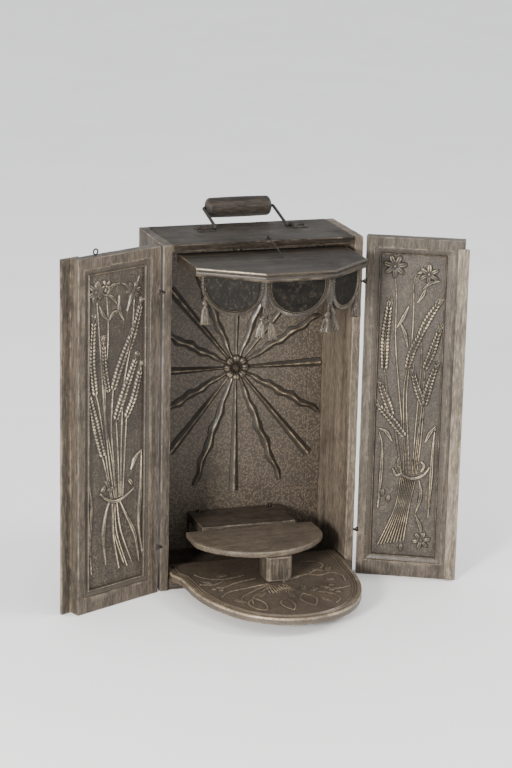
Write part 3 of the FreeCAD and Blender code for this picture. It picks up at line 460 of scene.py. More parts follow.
def worn_copy(name, source, body, material, matrix=None, cell=9 * MM, bevel=1.1 * MM,
              chip=0.5 * MM):
    """A CAD node as old joinery: edges rounded and nicked, faces slightly uneven. With a matrix, it
    is worked on in a straight frame of its own and then carried back."""
    bm = bmesh.new()
    bm.from_mesh(nodes[source].data)
    if matrix:
        bmesh.ops.transform(bm, matrix=matrix.inverted(), verts=bm.verts)
    bmesh.ops.remove_doubles(bm, verts=bm.verts, dist=WELD)
    bmesh.ops.dissolve_limit(bm, angle_limit=FLAT_ANGLE, verts=bm.verts, edges=bm.edges)
    sharp = [edge for edge in bm.edges if edge.calc_face_angle(0) > SHARP_ANGLE]
    edges = edge_tree(sharp)
    bmesh.ops.bevel(bm, geom=sharp, offset=bevel, segments=2, profile=0.6, affect="EDGES",
                    clamp_overlap=True)
    margin = bevel + WEAR_REACH
    slice_up(bm, cell, margin)
    # Each piece takes a part of the noise by the length of its name.
    shift = Vector((len(name) * 0.37, 1.7, 0.3))
    wears = weather(bm, edges, margin, chip, shift)
    if matrix:
        bmesh.ops.transform(bm, matrix=matrix, verts=bm.verts)
    mesh = bpy.data.meshes.new(name)
    bm.to_mesh(mesh)
    bm.free()
    set_attribute(mesh, "wear", wears)
    return add_piece(name, mesh, body, material, [source])


# ---------------------------------------------------------------- carving, in millimetres

CARVING_CELL = 0.6
CARVING_TOP = 3.4
# Curves are drawn this finely between their points, then sampled at this step.
CURVE_FINE = 24
CURVE_STEP = 0.4
# How far a stroke is worked beyond its band, and how far each of its slices reaches along it.
STROKE_MARGIN = 0.8
STROKE_SLICE = 0.7
# An ear's grains stand this many samples apart; its awns are this long.
GRAIN_EVERY = 12
EAR_HEIGHT = 3.2
AWN = 13.0
FLOWER_HEIGHT = 3.0
# Kinds of stroke: width, height, and where it matters how deep the crease is and how it tapers.
STEM = (2.2, 1.9)
STALK = (2.4, 2.3, 0.0, (0.8, 1.0, 0.9))
LEAF = (6.0, 2.9, 0.5, (0.25, 1.0, 0.15))
VINE = (3.0, 1.2, 0.3)
BLADE = (2.4, 1.1)
# The punched ground: how deep it is, its seed and the width of a dent in cells.
PUNCH = (0.10, 7, 2)
CARVING_FLOOR = -0.3
# How far around it a spot is compared with, in cells, and how much that counts. The fine reach draws
# painted highlights along the carving's edges and creases.
RUB_AND_HIGHLIGHT_REACHES = ((7, 0.24), (3, 0.75))


def distances_along(line):
    """How far along a line each of its points is."""
    return np.concatenate([[0], np.cumsum(np.linalg.norm(np.diff(line, axis=0), axis=1))])


def evenly(line, distances, count):
    """Evenly spaced points on a flat line, and its direction at each."""
    marks = np.linspace(0, distances[-1], count)
    points = np.stack([np.interp(marks, distances, line[:, axis]) for axis in range(2)], axis=1)
    ways = np.gradient(points, axis=0)
    return points, ways / np.linalg.norm(ways, axis=1)[:, None]


def smooth_curve(points):
    """A smooth curve through points, as evenly spaced samples with their directions."""
    knots = np.array([points[0], *points, points[-1]], dtype=float)
    share = np.linspace(0, 1, CURVE_FINE, endpoint=False)[:, None]
    pieces = []
    for index in range(1, len(knots) - 2):
        before, start, end, after = knots[index - 1:index + 3]
        pieces.append(0.5 * (2 * start + (end - before) * share
                             + (2 * before - 5 * start + 4 * end - after) * share ** 2
                             + (3 * start - before - 3 * end + after) * share ** 3))
    line = np.vstack([*pieces, knots[-1][None]])
    distances = distances_along(line)
    return evenly(line, distances, max(3, int(distances[-1] / CURVE_STEP)))


def onward(spot, heading, distance):
    """The point at a distance from a spot, in a direction."""
    return spot[0] + math.cos(heading) * distance, spot[1] + math.sin(heading) * distance


class Relief:
    """A carved surface as heights over a plane. Motifs only add height."""

    def __init__(self, low_x, high_x, low_y, high_y, cell):
        self.x = np.linspace(low_x, high_x, int((high_x - low_x) / cell) + 1)
        self.y = np.linspace(low_y, high_y, int((high_y - low_y) / cell) + 1)
        self.height = np.zeros((len(self.y), len(self.x)))

    def window(self, x, y, reach):
        """The part of the surface near a spot, and how far its points are from the spot."""
        first_x, last_x = np.searchsorted(self.x, (x - reach, x + reach))
        first_y, last_y = np.searchsorted(self.y, (y - reach, y + reach))
        part = (slice(first_y, last_y), slice(first_x, last_x))
        return part, self.x[part[1]][None, :] - x, self.y[part[0]][:, None] - y

    def grain(self, x, y, angle, length, width, height, crease=0.0):
        """A long rounded bump, with a crease along it where wanted."""
        part, dx, dy = self.window(x, y, max(length, width))
        along = dx * math.cos(angle) + dy * math.sin(angle)
        across = dy * math.cos(angle) - dx * math.sin(angle)
        bump = height * dome(np.hypot(along / length, across / width))
        bump = bump * (1 - crease * ridge(across, 0, 0.22 * width))
        self.height[part] = np.maximum(self.height[part], bump)

    def stroke(self, points, width, height, crease=0.0, taper=(0.6, 1.0, 0.5)):
        """A rounded band along a curve. taper gives its width at the start, middle and end."""
        samples, ways = smooth_curve(points)
        share = np.linspace(0, 1, len(samples))
        widths = width / 2 * np.interp(share, (0, 0.5, 1), taper)
        for (x, y), (way_x, way_y), half in zip(samples, ways, widths):
            part, dx, dy = self.window(x, y, half + STROKE_MARGIN)
            along = dx * way_x + dy * way_y
            across = dy * way_x - dx * way_y
            bump = height * dome(across / half) * (1 - crease * ridge(across, 0, 0.25 * half))
            bump = np.where(np.abs(along) < STROKE_SLICE, bump, 0)
            self.height[part] = np.maximum(self.height[part], bump)

    def ear(self, points, width):
        """An ear of wheat: pairs of grains up a stalk, each with an awn, and more awns at the tip."""
        samples, ways = smooth_curve(points)
        headings = np.arctan2(ways[:, 1], ways[:, 0])
        for index in range(0, len(samples), GRAIN_EVERY):
            share = index / len(samples)
            swell = width / 2 * (0.62 + 0.38 * math.sin(math.pi * min(1.0, share * 0.9 + 0.15)))
            heading = headings[index]
            for side in (-1, 1):
                spot = onward(samples[index], heading + side * math.pi / 2, swell * 0.52)
                self.stroke([spot, onward(spot, heading + side * 0.12, AWN)], 0.9, EAR_HEIGHT * 0.35,
                            taper=(1.0, 0.9, 0.6))
                self.grain(*spot, heading + side * 0.40, 3.5, swell * 0.34, EAR_HEIGHT, 0.2)
        tip = samples[-1]
        self.stroke([samples[0], samples[len(samples) // 2], tip], 1.6, EAR_HEIGHT * 0.5)
        for turn in (-0.3, -0.1, 0.12, 0.3):
            self.stroke([tip, onward(tip, headings[-1] + turn, AWN)], 1.0, EAR_HEIGHT * 0.6)

    def flower(self, x, y, radius, petals, turn=0.0):
        """A flower of creased petals about a knob."""
        for petal in range(petals):
            angle = turn + 2 * math.pi * petal / petals
            spot = onward((x, y), angle, radius * 0.58)
            self.grain(*spot, angle, radius * 0.46, radius * 0.25, FLOWER_HEIGHT, 0.4)
        self.grain(x, y, 0, radius * 0.2, radius * 0.2, FLOWER_HEIGHT)

    def rubbed_and_highlit(self):
        """How far each spot stands proud of what is around it, from 0 to 1. This sets where the carving
        turns bright: rubbed gilding, with painted highlights along its edges and creases.
        """
        proud = 0.14 + 0.05 * self.height
        for reach, share in RUB_AND_HIGHLIGHT_REACHES:
            kernel = np.ones(reach) / reach
            near = self.height
            for axis in (0, 1, 0, 1):
                near = np.apply_along_axis(np.convolve, axis, near, kernel, mode="same")
            proud = proud + share * (self.height - near)
        return np.clip(proud, 0, 1)

    def soften(self):
        """Rounds off the steps between neighbouring heights."""
        grown = np.pad(self.height, 1, mode="edge")
        self.height = (grown[1:-1, 1:-1] * 4 + grown[:-2, 1:-1] + grown[2:, 1:-1]
                       + grown[1:-1, :-2] + grown[1:-1, 2:]) / 8

    def pit(self, depth, seed, coarse):
        """Punched texture wherever the surface is low."""
        random = np.random.default_rng(seed)
        rows, columns = self.height.shape
        field = random.standard_normal((rows // coarse + 2, columns // coarse + 2))
        field = np.kron(field, np.ones((coarse, coarse)))[:rows, :columns]
        self.height += depth * field * (1 - ramp(self.height, 0, 0.8))


LEFT_STEMS = (
    ((60, 150), (52, 190), (44, 240), (36, 282), (30, 302)), ((58, 150), (50, 185), (42, 214)),
    ((66, 150), (60, 200), (50, 250), (47, 300), (50, 340), (52, 385), (49, 428)),
    ((68, 150), (62, 200), (58, 250), (61, 303)), ((72, 150), (70, 200), (66, 260)),
    ((78, 150), (81, 205), (84, 260)), ((64, 150), (55, 200), (47, 262), (41, 330), (33, 420)),
    ((75, 150), (75, 220), (79, 300), (92, 365), (96, 420)))
LEFT_EARS = (
    (((30, 300), (25, 345), (27, 392)), 12), (((43, 214), (33, 250), (20, 296)), 14),
    (((61, 302), (72, 328), (90, 366)), 13), (((66, 260), (78, 288), (98, 332)), 13),
    (((84, 260), (96, 282), (107, 318)), 11), (((52, 300), (46, 330), (44, 362)), 10),
    (((88, 352), (98, 378), (106, 404)), 11))
LEFT_LEAVES = (
    ((53, 394), (44, 402), (37, 415)), ((53, 394), (61, 403), (72, 404)),
    ((49, 428), (58, 439), (70, 441)), ((49, 428), (58, 424), (66, 414)),
    ((84, 402), (91, 420), (104, 446)), ((78, 390), (71, 404), (70, 424)),
    ((49, 428), (41, 432), (36, 446)), ((96, 420), (88, 432), (76, 440)),
    ((24, 52), (21, 100), (24, 145), (19, 182)), ((49, 60), (45, 100), (49, 130), (56, 148)),
    ((92, 184), (100, 200), (110, 208)), ((110, 206), (109, 150), (106, 105), (113, 62)),
    ((74, 142), (84, 122), (99, 92), (107, 52)))
LEFT_STALKS = (
    ((60, 142), (64, 100), (80, 56)), ((64, 142), (68, 100), (86, 50)),
    ((68, 142), (75, 102), (94, 54)), ((62, 142), (62, 100), (72, 50)))
RIGHT_STEMS = (
    ((70, 150), (66, 200), (62, 262), (66, 330), (67, 380), (66, 420), (71, 434)),
    ((62, 150), (58, 210), (50, 280), (44, 340), (43, 400), (40, 426)),
    ((60, 150), (48, 215), (36, 262), (30, 300)), ((66, 150), (60, 215), (58, 270), (62, 303)),
    ((76, 150), (79, 200), (84, 250)), ((80, 150), (84, 200), (86, 252)),
    ((74, 150), (76, 215), (80, 300), (78, 350)), ((78, 150), (82, 215), (86, 303)),
    ((58, 150), (50, 200), (42, 235)), ((62, 158), (60, 185), (60, 205)))
RIGHT_EARS = (
    (((30, 300), (30, 342), (34, 386)), 14), (((62, 303), (68, 326), (80, 352)), 12),
    (((78, 350), (88, 372), (100, 392)), 12), (((86, 303), (94, 324), (102, 352)), 12),
    (((84, 252), (77, 270), (70, 292)), 11), (((87, 252), (92, 276), (99, 300)), 12),
    (((42, 235), (35, 252), (27, 272)), 13), (((60, 205), (46, 222), (27, 242)), 13))
RIGHT_LEAVES = (
    ((60, 386), (52, 368), (45, 356)), ((50, 362), (56, 350), (61, 330)),
    ((72, 393), (78, 402), (83, 414)), ((79, 412), (88, 420), (101, 424)),
    ((28, 98), (31, 150), (31, 188), (26, 208)), ((27, 212), (36, 208), (45, 194)),
    ((84, 140), (87, 124), (85, 108), (80, 92)), ((81, 90), (88, 74), (90, 62)),
    ((98, 88), (100, 140), (101, 190), (103, 216)), ((90, 196), (95, 208), (103, 220)))
RIGHT_STALKS = tuple(((58 + 2.6 * stalk, 143), (52 + 2.4 * stalk, 100), (30 + 4.4 * stalk, 44 + stalk))
                     for stalk in range(9))


def left_carving(relief):
    """Wheat, flowers and reeds tied with a ribbon, drawn from the leaf's free edge."""
    relief.flower(31, 434, 15, 6, 0.3)
    relief.flower(95, 428, 13, 6, 0.1)
    relief.flower(48, 440, 9, 5, 0.8)
    relief.stroke([(40, 160), (50, 151), (66, 145), (82, 149), (97, 157)], 5.0, 3.4, 0.5)
    for x, y, turn in ((45, 166, 1.0), (52, 171, 2.0), (92, 166, 2.2), (58, 164, 0.4)):
        relief.grain(x, y, turn, 6.5, 3.0, 3.2, 0.6)


def right_carving(relief):
    """Wheat, a lily and reeds tied with a bow, drawn from the leaf's hinge edge."""
    relief.flower(40, 441, 16, 7, 0.2)
    relief.flower(86, 432, 14, 6, 0.5)
    relief.grain(74, 434, 0.4, 4.5, 2.8, 3.3)
    relief.flower(90, 54, 13, 6, 0.2)
    relief.stroke([(57, 160), (60, 149), (72, 143), (84, 146), (92, 152), (97, 160)], 4.6, 3.4, 0.5)
    relief.stroke([(47, 156), (52, 147), (60, 150)], 4.2, 3.4, 0.5)
    relief.stroke([(86, 168), (90, 162), (86, 154)], 4.0, 3.4, 0.5)
    relief.stroke([(54, 170), (54, 160), (60, 154)], 4.0, 3.0, 0.5)
    for x, y in ((62, 42), (34, 120), (42, 112)):
        relief.grain(x, y, 1.4, 6.0, 3.4, 2.6, 0.3)


def carve_panel(relief, stems, ears, leaves, stalks, extras):
    """A whole panel's carving, from its lists of strokes."""
    for points in stems:
        relief.stroke(points, *STEM)
    for points in stalks:
        relief.stroke(points, *STALK)
    for points in leaves:
        relief.stroke(points, *LEAF)
    for points, width in ears:
        relief.ear(points, width)
    extras(relief)
    relief.soften()
    relief.pit(*PUNCH)
    relief.height = np.clip(relief.height, CARVING_FLOOR, CARVING_TOP)


# ---------------------------------------------------------------- doors

PANEL_LIFT = 0.02 * MM
MOULDING_LIFT = 0.3 * MM
MOULDING_WOBBLE = 0.08 * MM
MOULDING_STEPS = 22
SIDE_STATIONS = 90
# Where the moulding's hollow and its inner bead begin, as shares of its width.
HOLLOW_START = 0.12
BEAD_START = 0.74


def moulding_rise(share):
    """How high the moulding is at a share of its width inwards: a fillet, a hollow and a bead."""
    if share < HOLLOW_START:
        return 0.95
    if share < BEAD_START:
        turn = (share - HOLLOW_START) / (BEAD_START - HOLLOW_START) * math.pi / 2
        return 0.42 + 0.30 * math.cos(turn) ** 1.4
    return 0.42 + 0.50 * math.sin((share - BEAD_START) / (1 - BEAD_START) * math.pi)


def moulding_mesh(name, low, high, top, width, matrix):
    """A mitred frame moulding, swept round the four sides of a panel. The panel's corners and the
    top are in the door's own closed frame."""
    shares = [step / MOULDING_STEPS for step in range(MOULDING_STEPS + 1)]
    profile = [(share, moulding_rise(share)) for share in shares] + [(1.0, 0.0)]
    loops = []
    for share, rise in profile:
        out = width * (1 - share)
        corners = [Vector(corner) for corner in (
            (low.x - out, low.z - out), (high.x + out, low.z - out),
            (high.x + out, high.z + out), (low.x - out, high.z + out))]
        loop = [start.lerp(end, station / SIDE_STATIONS)
                for start, end in zip(corners, corners[1:] + corners[:1])
                for station in range(SIDE_STATIONS)]
        loops.append([(point.x, low.y + (top - low.y) * rise, point.y) for point in loop])
    points = np.array(loops)
    points = points + np.random.default_rng(11).normal(0, MOULDING_WOBBLE, points.shape)
    rises = np.repeat([[rise] for _, rise in profile], points.shape[1], axis=1)
    # The high fillet and bead are bright: rubbed gilding with a painted highlight.
    return grid_mesh(name, transformed(points, matrix), wrap_columns=True,
                     facing=tuple(matrix.to_3x3() @ Y_AXIS), wear=(rises > 0.80) * 0.75,
                     relief=0.10 + 0.35 * rises)


def build_door(side, strokes, extras, from_free_edge):
    """A door's leaf, moulding and carved panel, in the door's own closed frame, then turned."""
    door = side + "_door"
    joint = next(joint for joint in frame["joints"] if joint["name"] == door + "_hinge")
    pivot = Vector((joint["pos_m"][0], joint["pos_m"][1], 0.0))
    opening = -math.radians(joint["range_deg"][1])
    matrix = Matrix.Translation(pivot) @ Matrix.Rotation(opening, 4, Vector(joint["axis"]))
    inverse = matrix.inverted()
    worn_copy(door + "_board", door + "_leaf", door, "door", matrix, cell=10 * MM)
    low, high = extent(door + "_carving", inverse)
    leaf_low, leaf_high = extent(door + "_leaf", inverse)
    moulding_high = extent(door + "_moulding", inverse)[1]
    starts_low = (side == "left") != from_free_edge
    origin = leaf_low.x if starts_low else leaf_high.x
    way = 1 if starts_low else -1
    near, far = sorted(((low.x - origin) * way / MM, (high.x - origin) * way / MM))
    relief = Relief(near, far, low.z / MM, high.z / MM, CARVING_CELL)
    carve_panel(relief, *strokes, extras)
    across, up = np.meshgrid(relief.x, relief.y)
    points = np.stack([origin + way * across * MM, low.y + relief.height * MM + PANEL_LIFT, up * MM],
                      axis=2)
    mesh = grid_mesh(side + "_panel", transformed(points, matrix),
                     facing=tuple(matrix.to_3x3() @ Y_AXIS), relief=relief.rubbed_and_highlit())
    add_piece(door + "_relief", mesh, door, "carved", [door + "_carving"], sharp=80)
    mesh = moulding_mesh(side + "_frame", low, high, leaf_high.y + MOULDING_LIFT,
                         moulding_high.z - high.z, matrix)
    add_piece(door + "_frame_moulding", mesh, door, "gilt_edge",
              [door + "_moulding"])
    return matrix


left_matrix = build_door("left", (LEFT_STEMS, LEFT_EARS, LEFT_LEAVES, LEFT_STALKS), left_carving, True)
right_matrix = build_door("right", (RIGHT_STEMS, RIGHT_EARS, RIGHT_LEAVES, RIGHT_STALKS),
                          right_carving, False)
worn_copy("left_door_batten", "left_door_astragal", "left_door", "door", left_matrix)
worn_copy("right_door_rebate", "right_door_strip", "right_door", "strip", right_matrix,
          bevel=1.6 * MM)

# ---------------------------------------------------------------- the case

# The back is stippled inside and left plain outside: the stipple stops at this relief.
PLAIN_RELIEF = 0.3

for board, tone in (("side_left", "case_upright"), ("side_right", "case_side_painted_light")):
    worn_copy(board + "_worn", board, "case", tone, bevel=1.3 * MM, chip=0.9 * MM)
for board, tone in (("top_board", "case_top_painted_shade"), ("floor_board", "case_level")):
    worn_copy(board + "_worn", board, "case", tone, bevel=1.0 * MM)
for board in ("back_board_wide", "back_board_narrow"):
    piece = worn_copy(board + "_worn", board, "case", "back", bevel=0.5 * MM, chip=0.0)
    low, high = extent(board)
    middle = (low.y + high.y) / 2
    reliefs = [PLAIN_RELIEF if vertex.co.y > middle else 0.0 for vertex in piece.data.vertices]
    set_attribute(piece.data, "relief", reliefs)
worn_copy("ledger_worn", "shelf_ledger", "case", "case_level")

# ---------------------------------------------------------------- the sunburst

# The rays keep this far from the case's sides.
SIDE_GAP = 0.8 * MM
back_face = extent("back_board_wide")[0].y
sun_low, sun_high = extent("sun_flower")
sun_centre = (sun_low + sun_high) / 2
sun_radius = (sun_high.x - sun_low.x) / 2
side_reach = extent("side_right")[0].x - SIDE_GAP
# Each ray's angle in degrees and its length in millimetres.
STRAIGHT_RAYS = ((0.0, 125), (50.5, 150), (90.0, 172), (129.5, 150),
                 (180.0, 125), (231.0, 150), (270.0, 180), (309.5, 172))
WAVY_RAYS = ((29.5, 140), (69.5, 168), (113.0, 168), (152.5, 140),
             (208.5, 140), (250.8, 178), (292.0, 182), (330.0, 143))
RAY_STATIONS = 90
RAY_CREST = 4.1 * MM
RAY_SWING = 1.7 * MM
RAY_SIDE_GAP = 2 * MM
# Rays that run less sideways than this share of their length never come near the sides.
RAY_UPRIGHT = 0.05
# Across a ray, from edge to edge: the share of its width and of its crest.
RAY_PROFILE = ((-0.5, 0.0), (-0.46, 0.30), (-0.20, 0.62), (-0.045, 0.97), (0.0, 1.0),
               (0.045, 0.97), (0.20, 0.62), (0.46, 0.30), (0.5, 0.0))


def ray_mesh(name, angle, length, wavy):
    """One ray: a crested strip that leaves the flower narrow and widens outwards. It ends short of
    the case's sides."""
    heading = math.radians(angle)
    way = np.array((math.cos(heading), math.sin(heading)))
    side = np.array((-way[1], way[0]))
    length = min(length * MM, (side_reach - RAY_SIDE_GAP) / max(abs(way[0]), RAY_UPRIGHT))
    share = np.linspace(0, 1, RAY_STATIONS)
    start = sun_radius * 0.80
    line = way * (start + (length - start) * share)[:, None]
    if wavy:
        line = line + side * (RAY_SWING * share ** 0.5 * np.sin(share * 2 * math.pi * 3.6))[:, None]
        width = (4.0 + 8.6 * np.sin(math.pi * np.minimum(share * 0.93, 0.97)) ** 0.75) * MM
        width *= 1 + 0.16 * np.cos(share * 2 * math.pi * 6.4)
    else:
        width = (4.4 + 9.8 * share) * MM
    across, rises = np.array(RAY_PROFILE).T
    flat = line[:, None] + side * (across * width[:, None])[..., None]
    crest = RAY_CREST * np.clip(0.45 + share * 1.2, 0, 1)
    points = np.stack([np.clip(sun_centre.x + flat[..., 0], -side_reach, side_reach),
                       back_face - crest[:, None] * rises, sun_centre.z + flat[..., 1]], axis=2)
    # Painted highlight: the crest is painted bright, in broken glints along the ray.
    glint = 0.55 + 0.45 * np.cos(share * 23 + angle)[:, None] ** 2
    relief = (0.25 + 0.6 * glint) * rises ** 5
    return close_ends(grid_mesh(name, points, relief=relief, wear=relief * 0.0))


for kind, rays in (("straight", STRAIGHT_RAYS), ("wavy", WAVY_RAYS)):
    meshes = [ray_mesh("%s_%d" % (kind, index), angle, length, kind == "wavy")
              for index, (angle, length) in enumerate(rays)]
    add_piece("sun_" + kind, joined(kind + "_rays", meshes), "case", "ray",
              ["sun_rays_" + kind], sharp=22)

PETALS = 8
FLOWER_RISE = 1.4 * MM
PETAL_RISE = 5.4 * MM
BEAD_RISE = 5.2 * MM
SEED_RISE = 6.6 * MM


def flower_mesh():
    """The flower at the heart of the sunburst: eight petals, a ring of beads and a seed head."""
    share, turn = round_grid(rings=46, turns=160)
    petal = np.abs(np.cos(turn * PETALS / 2))
    radius = sun_radius * share * (1 - 0.12 * (1 - petal) * share ** 2)
    bulge = np.sin(math.pi * ramp(share, 0.40, 1.06)) ** 0.5
    crease = 1 - 0.22 * ridge(petal, 1, 0.012)
    petals = bulge * (0.40 + 0.60 * petal ** 0.45) * crease
    beads = ridge(share, 0.37, 0.05) * (0.55 + 0.45 * np.cos(turn * 13))
    seeds = dome(share / 0.30) ** 2 * (0.8 + 0.2 * np.cos(turn * 6) * np.sin(share * 60))
    height = np.maximum(np.maximum(PETAL_RISE * petals, BEAD_RISE * beads), SEED_RISE * seeds)
    height = np.where(share >= 0.999, 0, height + FLOWER_RISE)
    points = np.stack([sun_centre.x + radius * np.cos(turn), back_face - height,
                       sun_centre.z + radius * np.sin(turn)], axis=2)
    # The highest parts are bright: rubbed gilding with a painted highlight.
    return grid_mesh("flower", points, wrap_columns=True, facing=(0, -1, 0),
                     relief=ramp(height, 0, 7.0 * MM) ** 3 * 0.6)


add_piece("sun_heart", flower_mesh(), "case", "ray", ["sun_flower"], sharp=60)

# ---------------------------------------------------------------- the shelf

worn_copy("shelf_top_worn", "shelf_board", "shelf", "shelf", bevel=2.0 * MM,
          chip=0.2 * MM)
for name, source in (("shelf_rear_worn", "shelf_rear_board"), ("shelf_battens_worn", "shelf_battens")):
    worn_copy(name, source, "shelf", "case_level", bevel=0.8 * MM)
worn_copy("shelf_leg_worn", "shelf_leg", "shelf", "case_upright", bevel=0.9 * MM,
          chip=0.7 * MM)

# ---------------------------------------------------------------- the carved base board

# The outline is read apart from the notches for the hinge, and the grid stops just before them.
BOARD_MIDDLE = 2.5 * MM
NOTCHES = 12 * MM
NOTCHED_HALF = 90 * MM
NOTCH_STOP = 4.6 * MM
BOARD_ROWS, BOARD_COLUMNS = 280, 261
BOARD_CELL = 0.8
BOARD_RELIEF = 1.4
BORDER_HEIGHT = 0.8
UNDER_STEP = 20
# How far in from the rim, in millimetres, the rounding and the plain border reach, where the two
# lines run, and where the carving starts.
RIM_ROUNDING = 2.6
BORDER = 6.0
BORDER_LINES = (8.0, 12.0)
LINE_SOFTNESS = 0.7
FIELD = 14.0
BOARD_VINES = (
    ((-8, -136), (-34, -152), (-58, -172), (-66, -196)),
    ((-8, -138), (-26, -158), (-46, -178), (-52, -200)),
    ((-10, -134), (-44, -142), (-70, -150), (-84, -164)),
    ((-46, -180), (-58, -196), (-54, -218), (-42, -226)),
    ((-46, -180), (-37, -198), (-38, -216), (-42, -226)),
    ((-6, -190), (-16, -206), (-14, -224), (-8, -234)), ((-6, -190), (1, -206), (-2, -224), (-8, -234)),
    ((24, -180), (35, -196), (32, -214), (24, -226)), ((24, -180), (14, -196), (18, -214), (24, -226)),
    ((56, -160), (72, -174), (94, -170)), ((46, -178), (62, -190), (66, -210), (56, -222)),
    ((62, -62), (82, -68), (86, -86), (68, -101), (52, -112)),
    ((30, -118), (52, -112), (70, -120), (86, -112)), ((14, -130), (34, -121), (52, -112)),
    ((-30, -92), (-60, -102), (-84, -94), (-96, -76)), ((-60, -102), (-80, -118), (-100, -114)),
    ((-20, -110), (-48, -118), (-70, -130), (-92, -132)), ((86, -112), (98, -126), (96, -148)))
BOARD_GRAPES = ((78, -137, 6.5), (62, -166, 4.4), (72, -158, 4.4), (66, -176, 4.4), (54, -181, 4.4),
                (60, -188, 4.2), (72, -185, 4.2), (-78, -140, 4.0), (-86, -134, 4.0), (-74, -132, 4.0))
BOARD_LEAVES = ((44, -168, 0.8), (32, -158, 1.2), (-66, -186, 2.3), (-30, -170, 0.9), (74, -98, 2.5),
                (8, -180, 1.6), (90, -96, 1.1), (-60, -88, 0.3), (-88, -106, 2.2), (46, -206, 1.9))


def board_carving(relief):
    """Low carving on the base board: vines, grapes and leaves spread from under the shelf's leg."""
    for points in BOARD_VINES:
        relief.stroke(points, *VINE)
    for blade in range(9):
        relief.stroke([(-14 + 3.2 * blade, -140), (-17 + 3.9 * blade, -154),
                       (-18 + 4.6 * blade, -168)], *BLADE)
    for x, y, radius in BOARD_GRAPES:
        relief.grain(x, y, 0.0, radius, radius * 0.92, 1.3)
    for x, y, turn in BOARD_LEAVES:
        relief.grain(x, y, turn, 10.0, 4.2, 1.3, 0.6)


def edge_of(points, sideways):
    """The board's left or right edge, as y and the x there, from its outline's points."""
    chain = sorted({(y, x) for x, y in points if (x - BOARD_MIDDLE) * sideways > 0})
    return np.array(chain).T


def board_grid():
    """Rows and columns over the board's outline, as the x and the y of each point."""
    low, high = extent("base_board")
    outline = {(round(vertex.co.x, 5), round(vertex.co.y, 5))
               for vertex in nodes["base_board"].data.vertices
               if not (vertex.co.y > high.y - NOTCHES and abs(vertex.co.x) < NOTCHED_HALF)}
    share = np.linspace(0, 1, BOARD_ROWS)
    y = low.y + (high.y - NOTCH_STOP - low.y) * (1 - np.cos(share * math.pi / 2)) ** 0.85
    left, right = (np.interp(y, *edge_of(outline, sideways)) for sideways in (-1, 1))
    half = np.maximum((right - left) / 2, 1.0 * MM)
    across = np.sin(np.linspace(-math.pi / 2, math.pi / 2, BOARD_COLUMNS))
    x = ((left + right) / 2)[:, None] + half[:, None] * across
    return x, np.repeat(y[:, None], BOARD_COLUMNS, axis=1)


def rim_distance(x, y):
    """How far each point of the board's grid is from its rounded rim, in millimetres."""
    rim = [*zip(x[:, 0], y[:, 0]), *zip(x[:, -1], y[:, -1]), *zip(x[0], y[0])]
    tree = nearest_tree([(*spot, 0.0) for spot in rim])
    distances = [tree.find((*spot, 0.0))[2] for spot in zip(x.ravel(), y.ravel())]
    return np.array(distances).reshape(x.shape) / MM


def board_surface(x, y, rim):
    """The carving's height at each point of the board's grid, and how bright it is as rubbed gilding
    with painted highlights, from 0 to 1.
    """
    low, high = extent("base_board")
    relief = Relief(low.x / MM, high.x / MM, low.y / MM, high.y / MM, BOARD_CELL)
    board_carving(relief)
    relief.soften()
    cell = relief.x[1] - relief.x[0]
    column = np.clip(((x / MM - relief.x[0]) / cell).astype(int), 0, len(relief.x) - 1)
    row = np.clip(((y / MM - relief.y[0]) / cell).astype(int), 0, len(relief.y) - 1)
    lines = sum(ridge(rim, line, LINE_SOFTNESS) for line in BORDER_LINES)
    height = np.maximum(relief.height[row, column] * (rim > FIELD), lines)
    height = np.where(rim < BORDER, BORDER_HEIGHT, height)
    rubbed_and_highlit = np.where(rim > FIELD, relief.rubbed_and_highlit()[row, column] * 1.3, 0.10 + 0.40 * height)
    return np.clip(height, 0, 1), np.clip(rubbed_and_highlit, 0, 1)


def base_board_mesh():
    """The base board, carved on top and worn at its rim."""
    low, high = extent("base_board")
    x, y = board_grid()
    rim = rim_distance(x, y)
    height, rubbed_and_highlit = board_surface(x, y, rim)
    turned = 1 - ramp(rim, 0, RIM_ROUNDING)
    drop = RIM_ROUNDING * (1 - dome(turned))
    upper = np.stack([x, y, high.z + ((height - 1) * BOARD_RELIEF - drop) * MM], axis=2)
    lower = np.stack([x, y, np.full_like(x, low.z)], axis=2)
    ring, base = (np.concatenate([sheet[:, 0][::-1], sheet[0], sheet[:, -1], sheet[-1][::-1]])
                  for sheet in (upper, lower))
    levels = np.linspace(0, 1, 7)[:, None, None]
    fade = np.repeat(np.abs(1 - 2 * levels[:, :, 0]) ** 3, len(ring), axis=1)
    under = slice(None, None, UNDER_STEP)
    sheets = [
        grid_mesh("board_top", upper, facing=(0, 0, 1), wear=turned * 0.8, relief=rubbed_and_highlit),
        grid_mesh("board_under", lower[:, under], facing=(0, 0, -1), wear=turned[:, under] * 0,
                  relief=rubbed_and_highlit[:, under] * 0.3),
        grid_mesh("board_wall", ring[None] * (1 - levels) + base[None] * levels, wrap_columns=True,
                  wear=fade * 0.7, relief=0.15 + 0.25 * fade)]
    return joined("base_board_carved", sheets, weld=0.02 * MM)


add_piece("base_board_carved", base_board_mesh(), "base_board", "board",
          ["base_board"], sharp=50)

# ---------------------------------------------------------------- the canopy

worn_copy("canopy_worn", "canopy_board", "canopy", "canopy", bevel=1.2 * MM)
canopy_high = extent("canopy_board")[1]
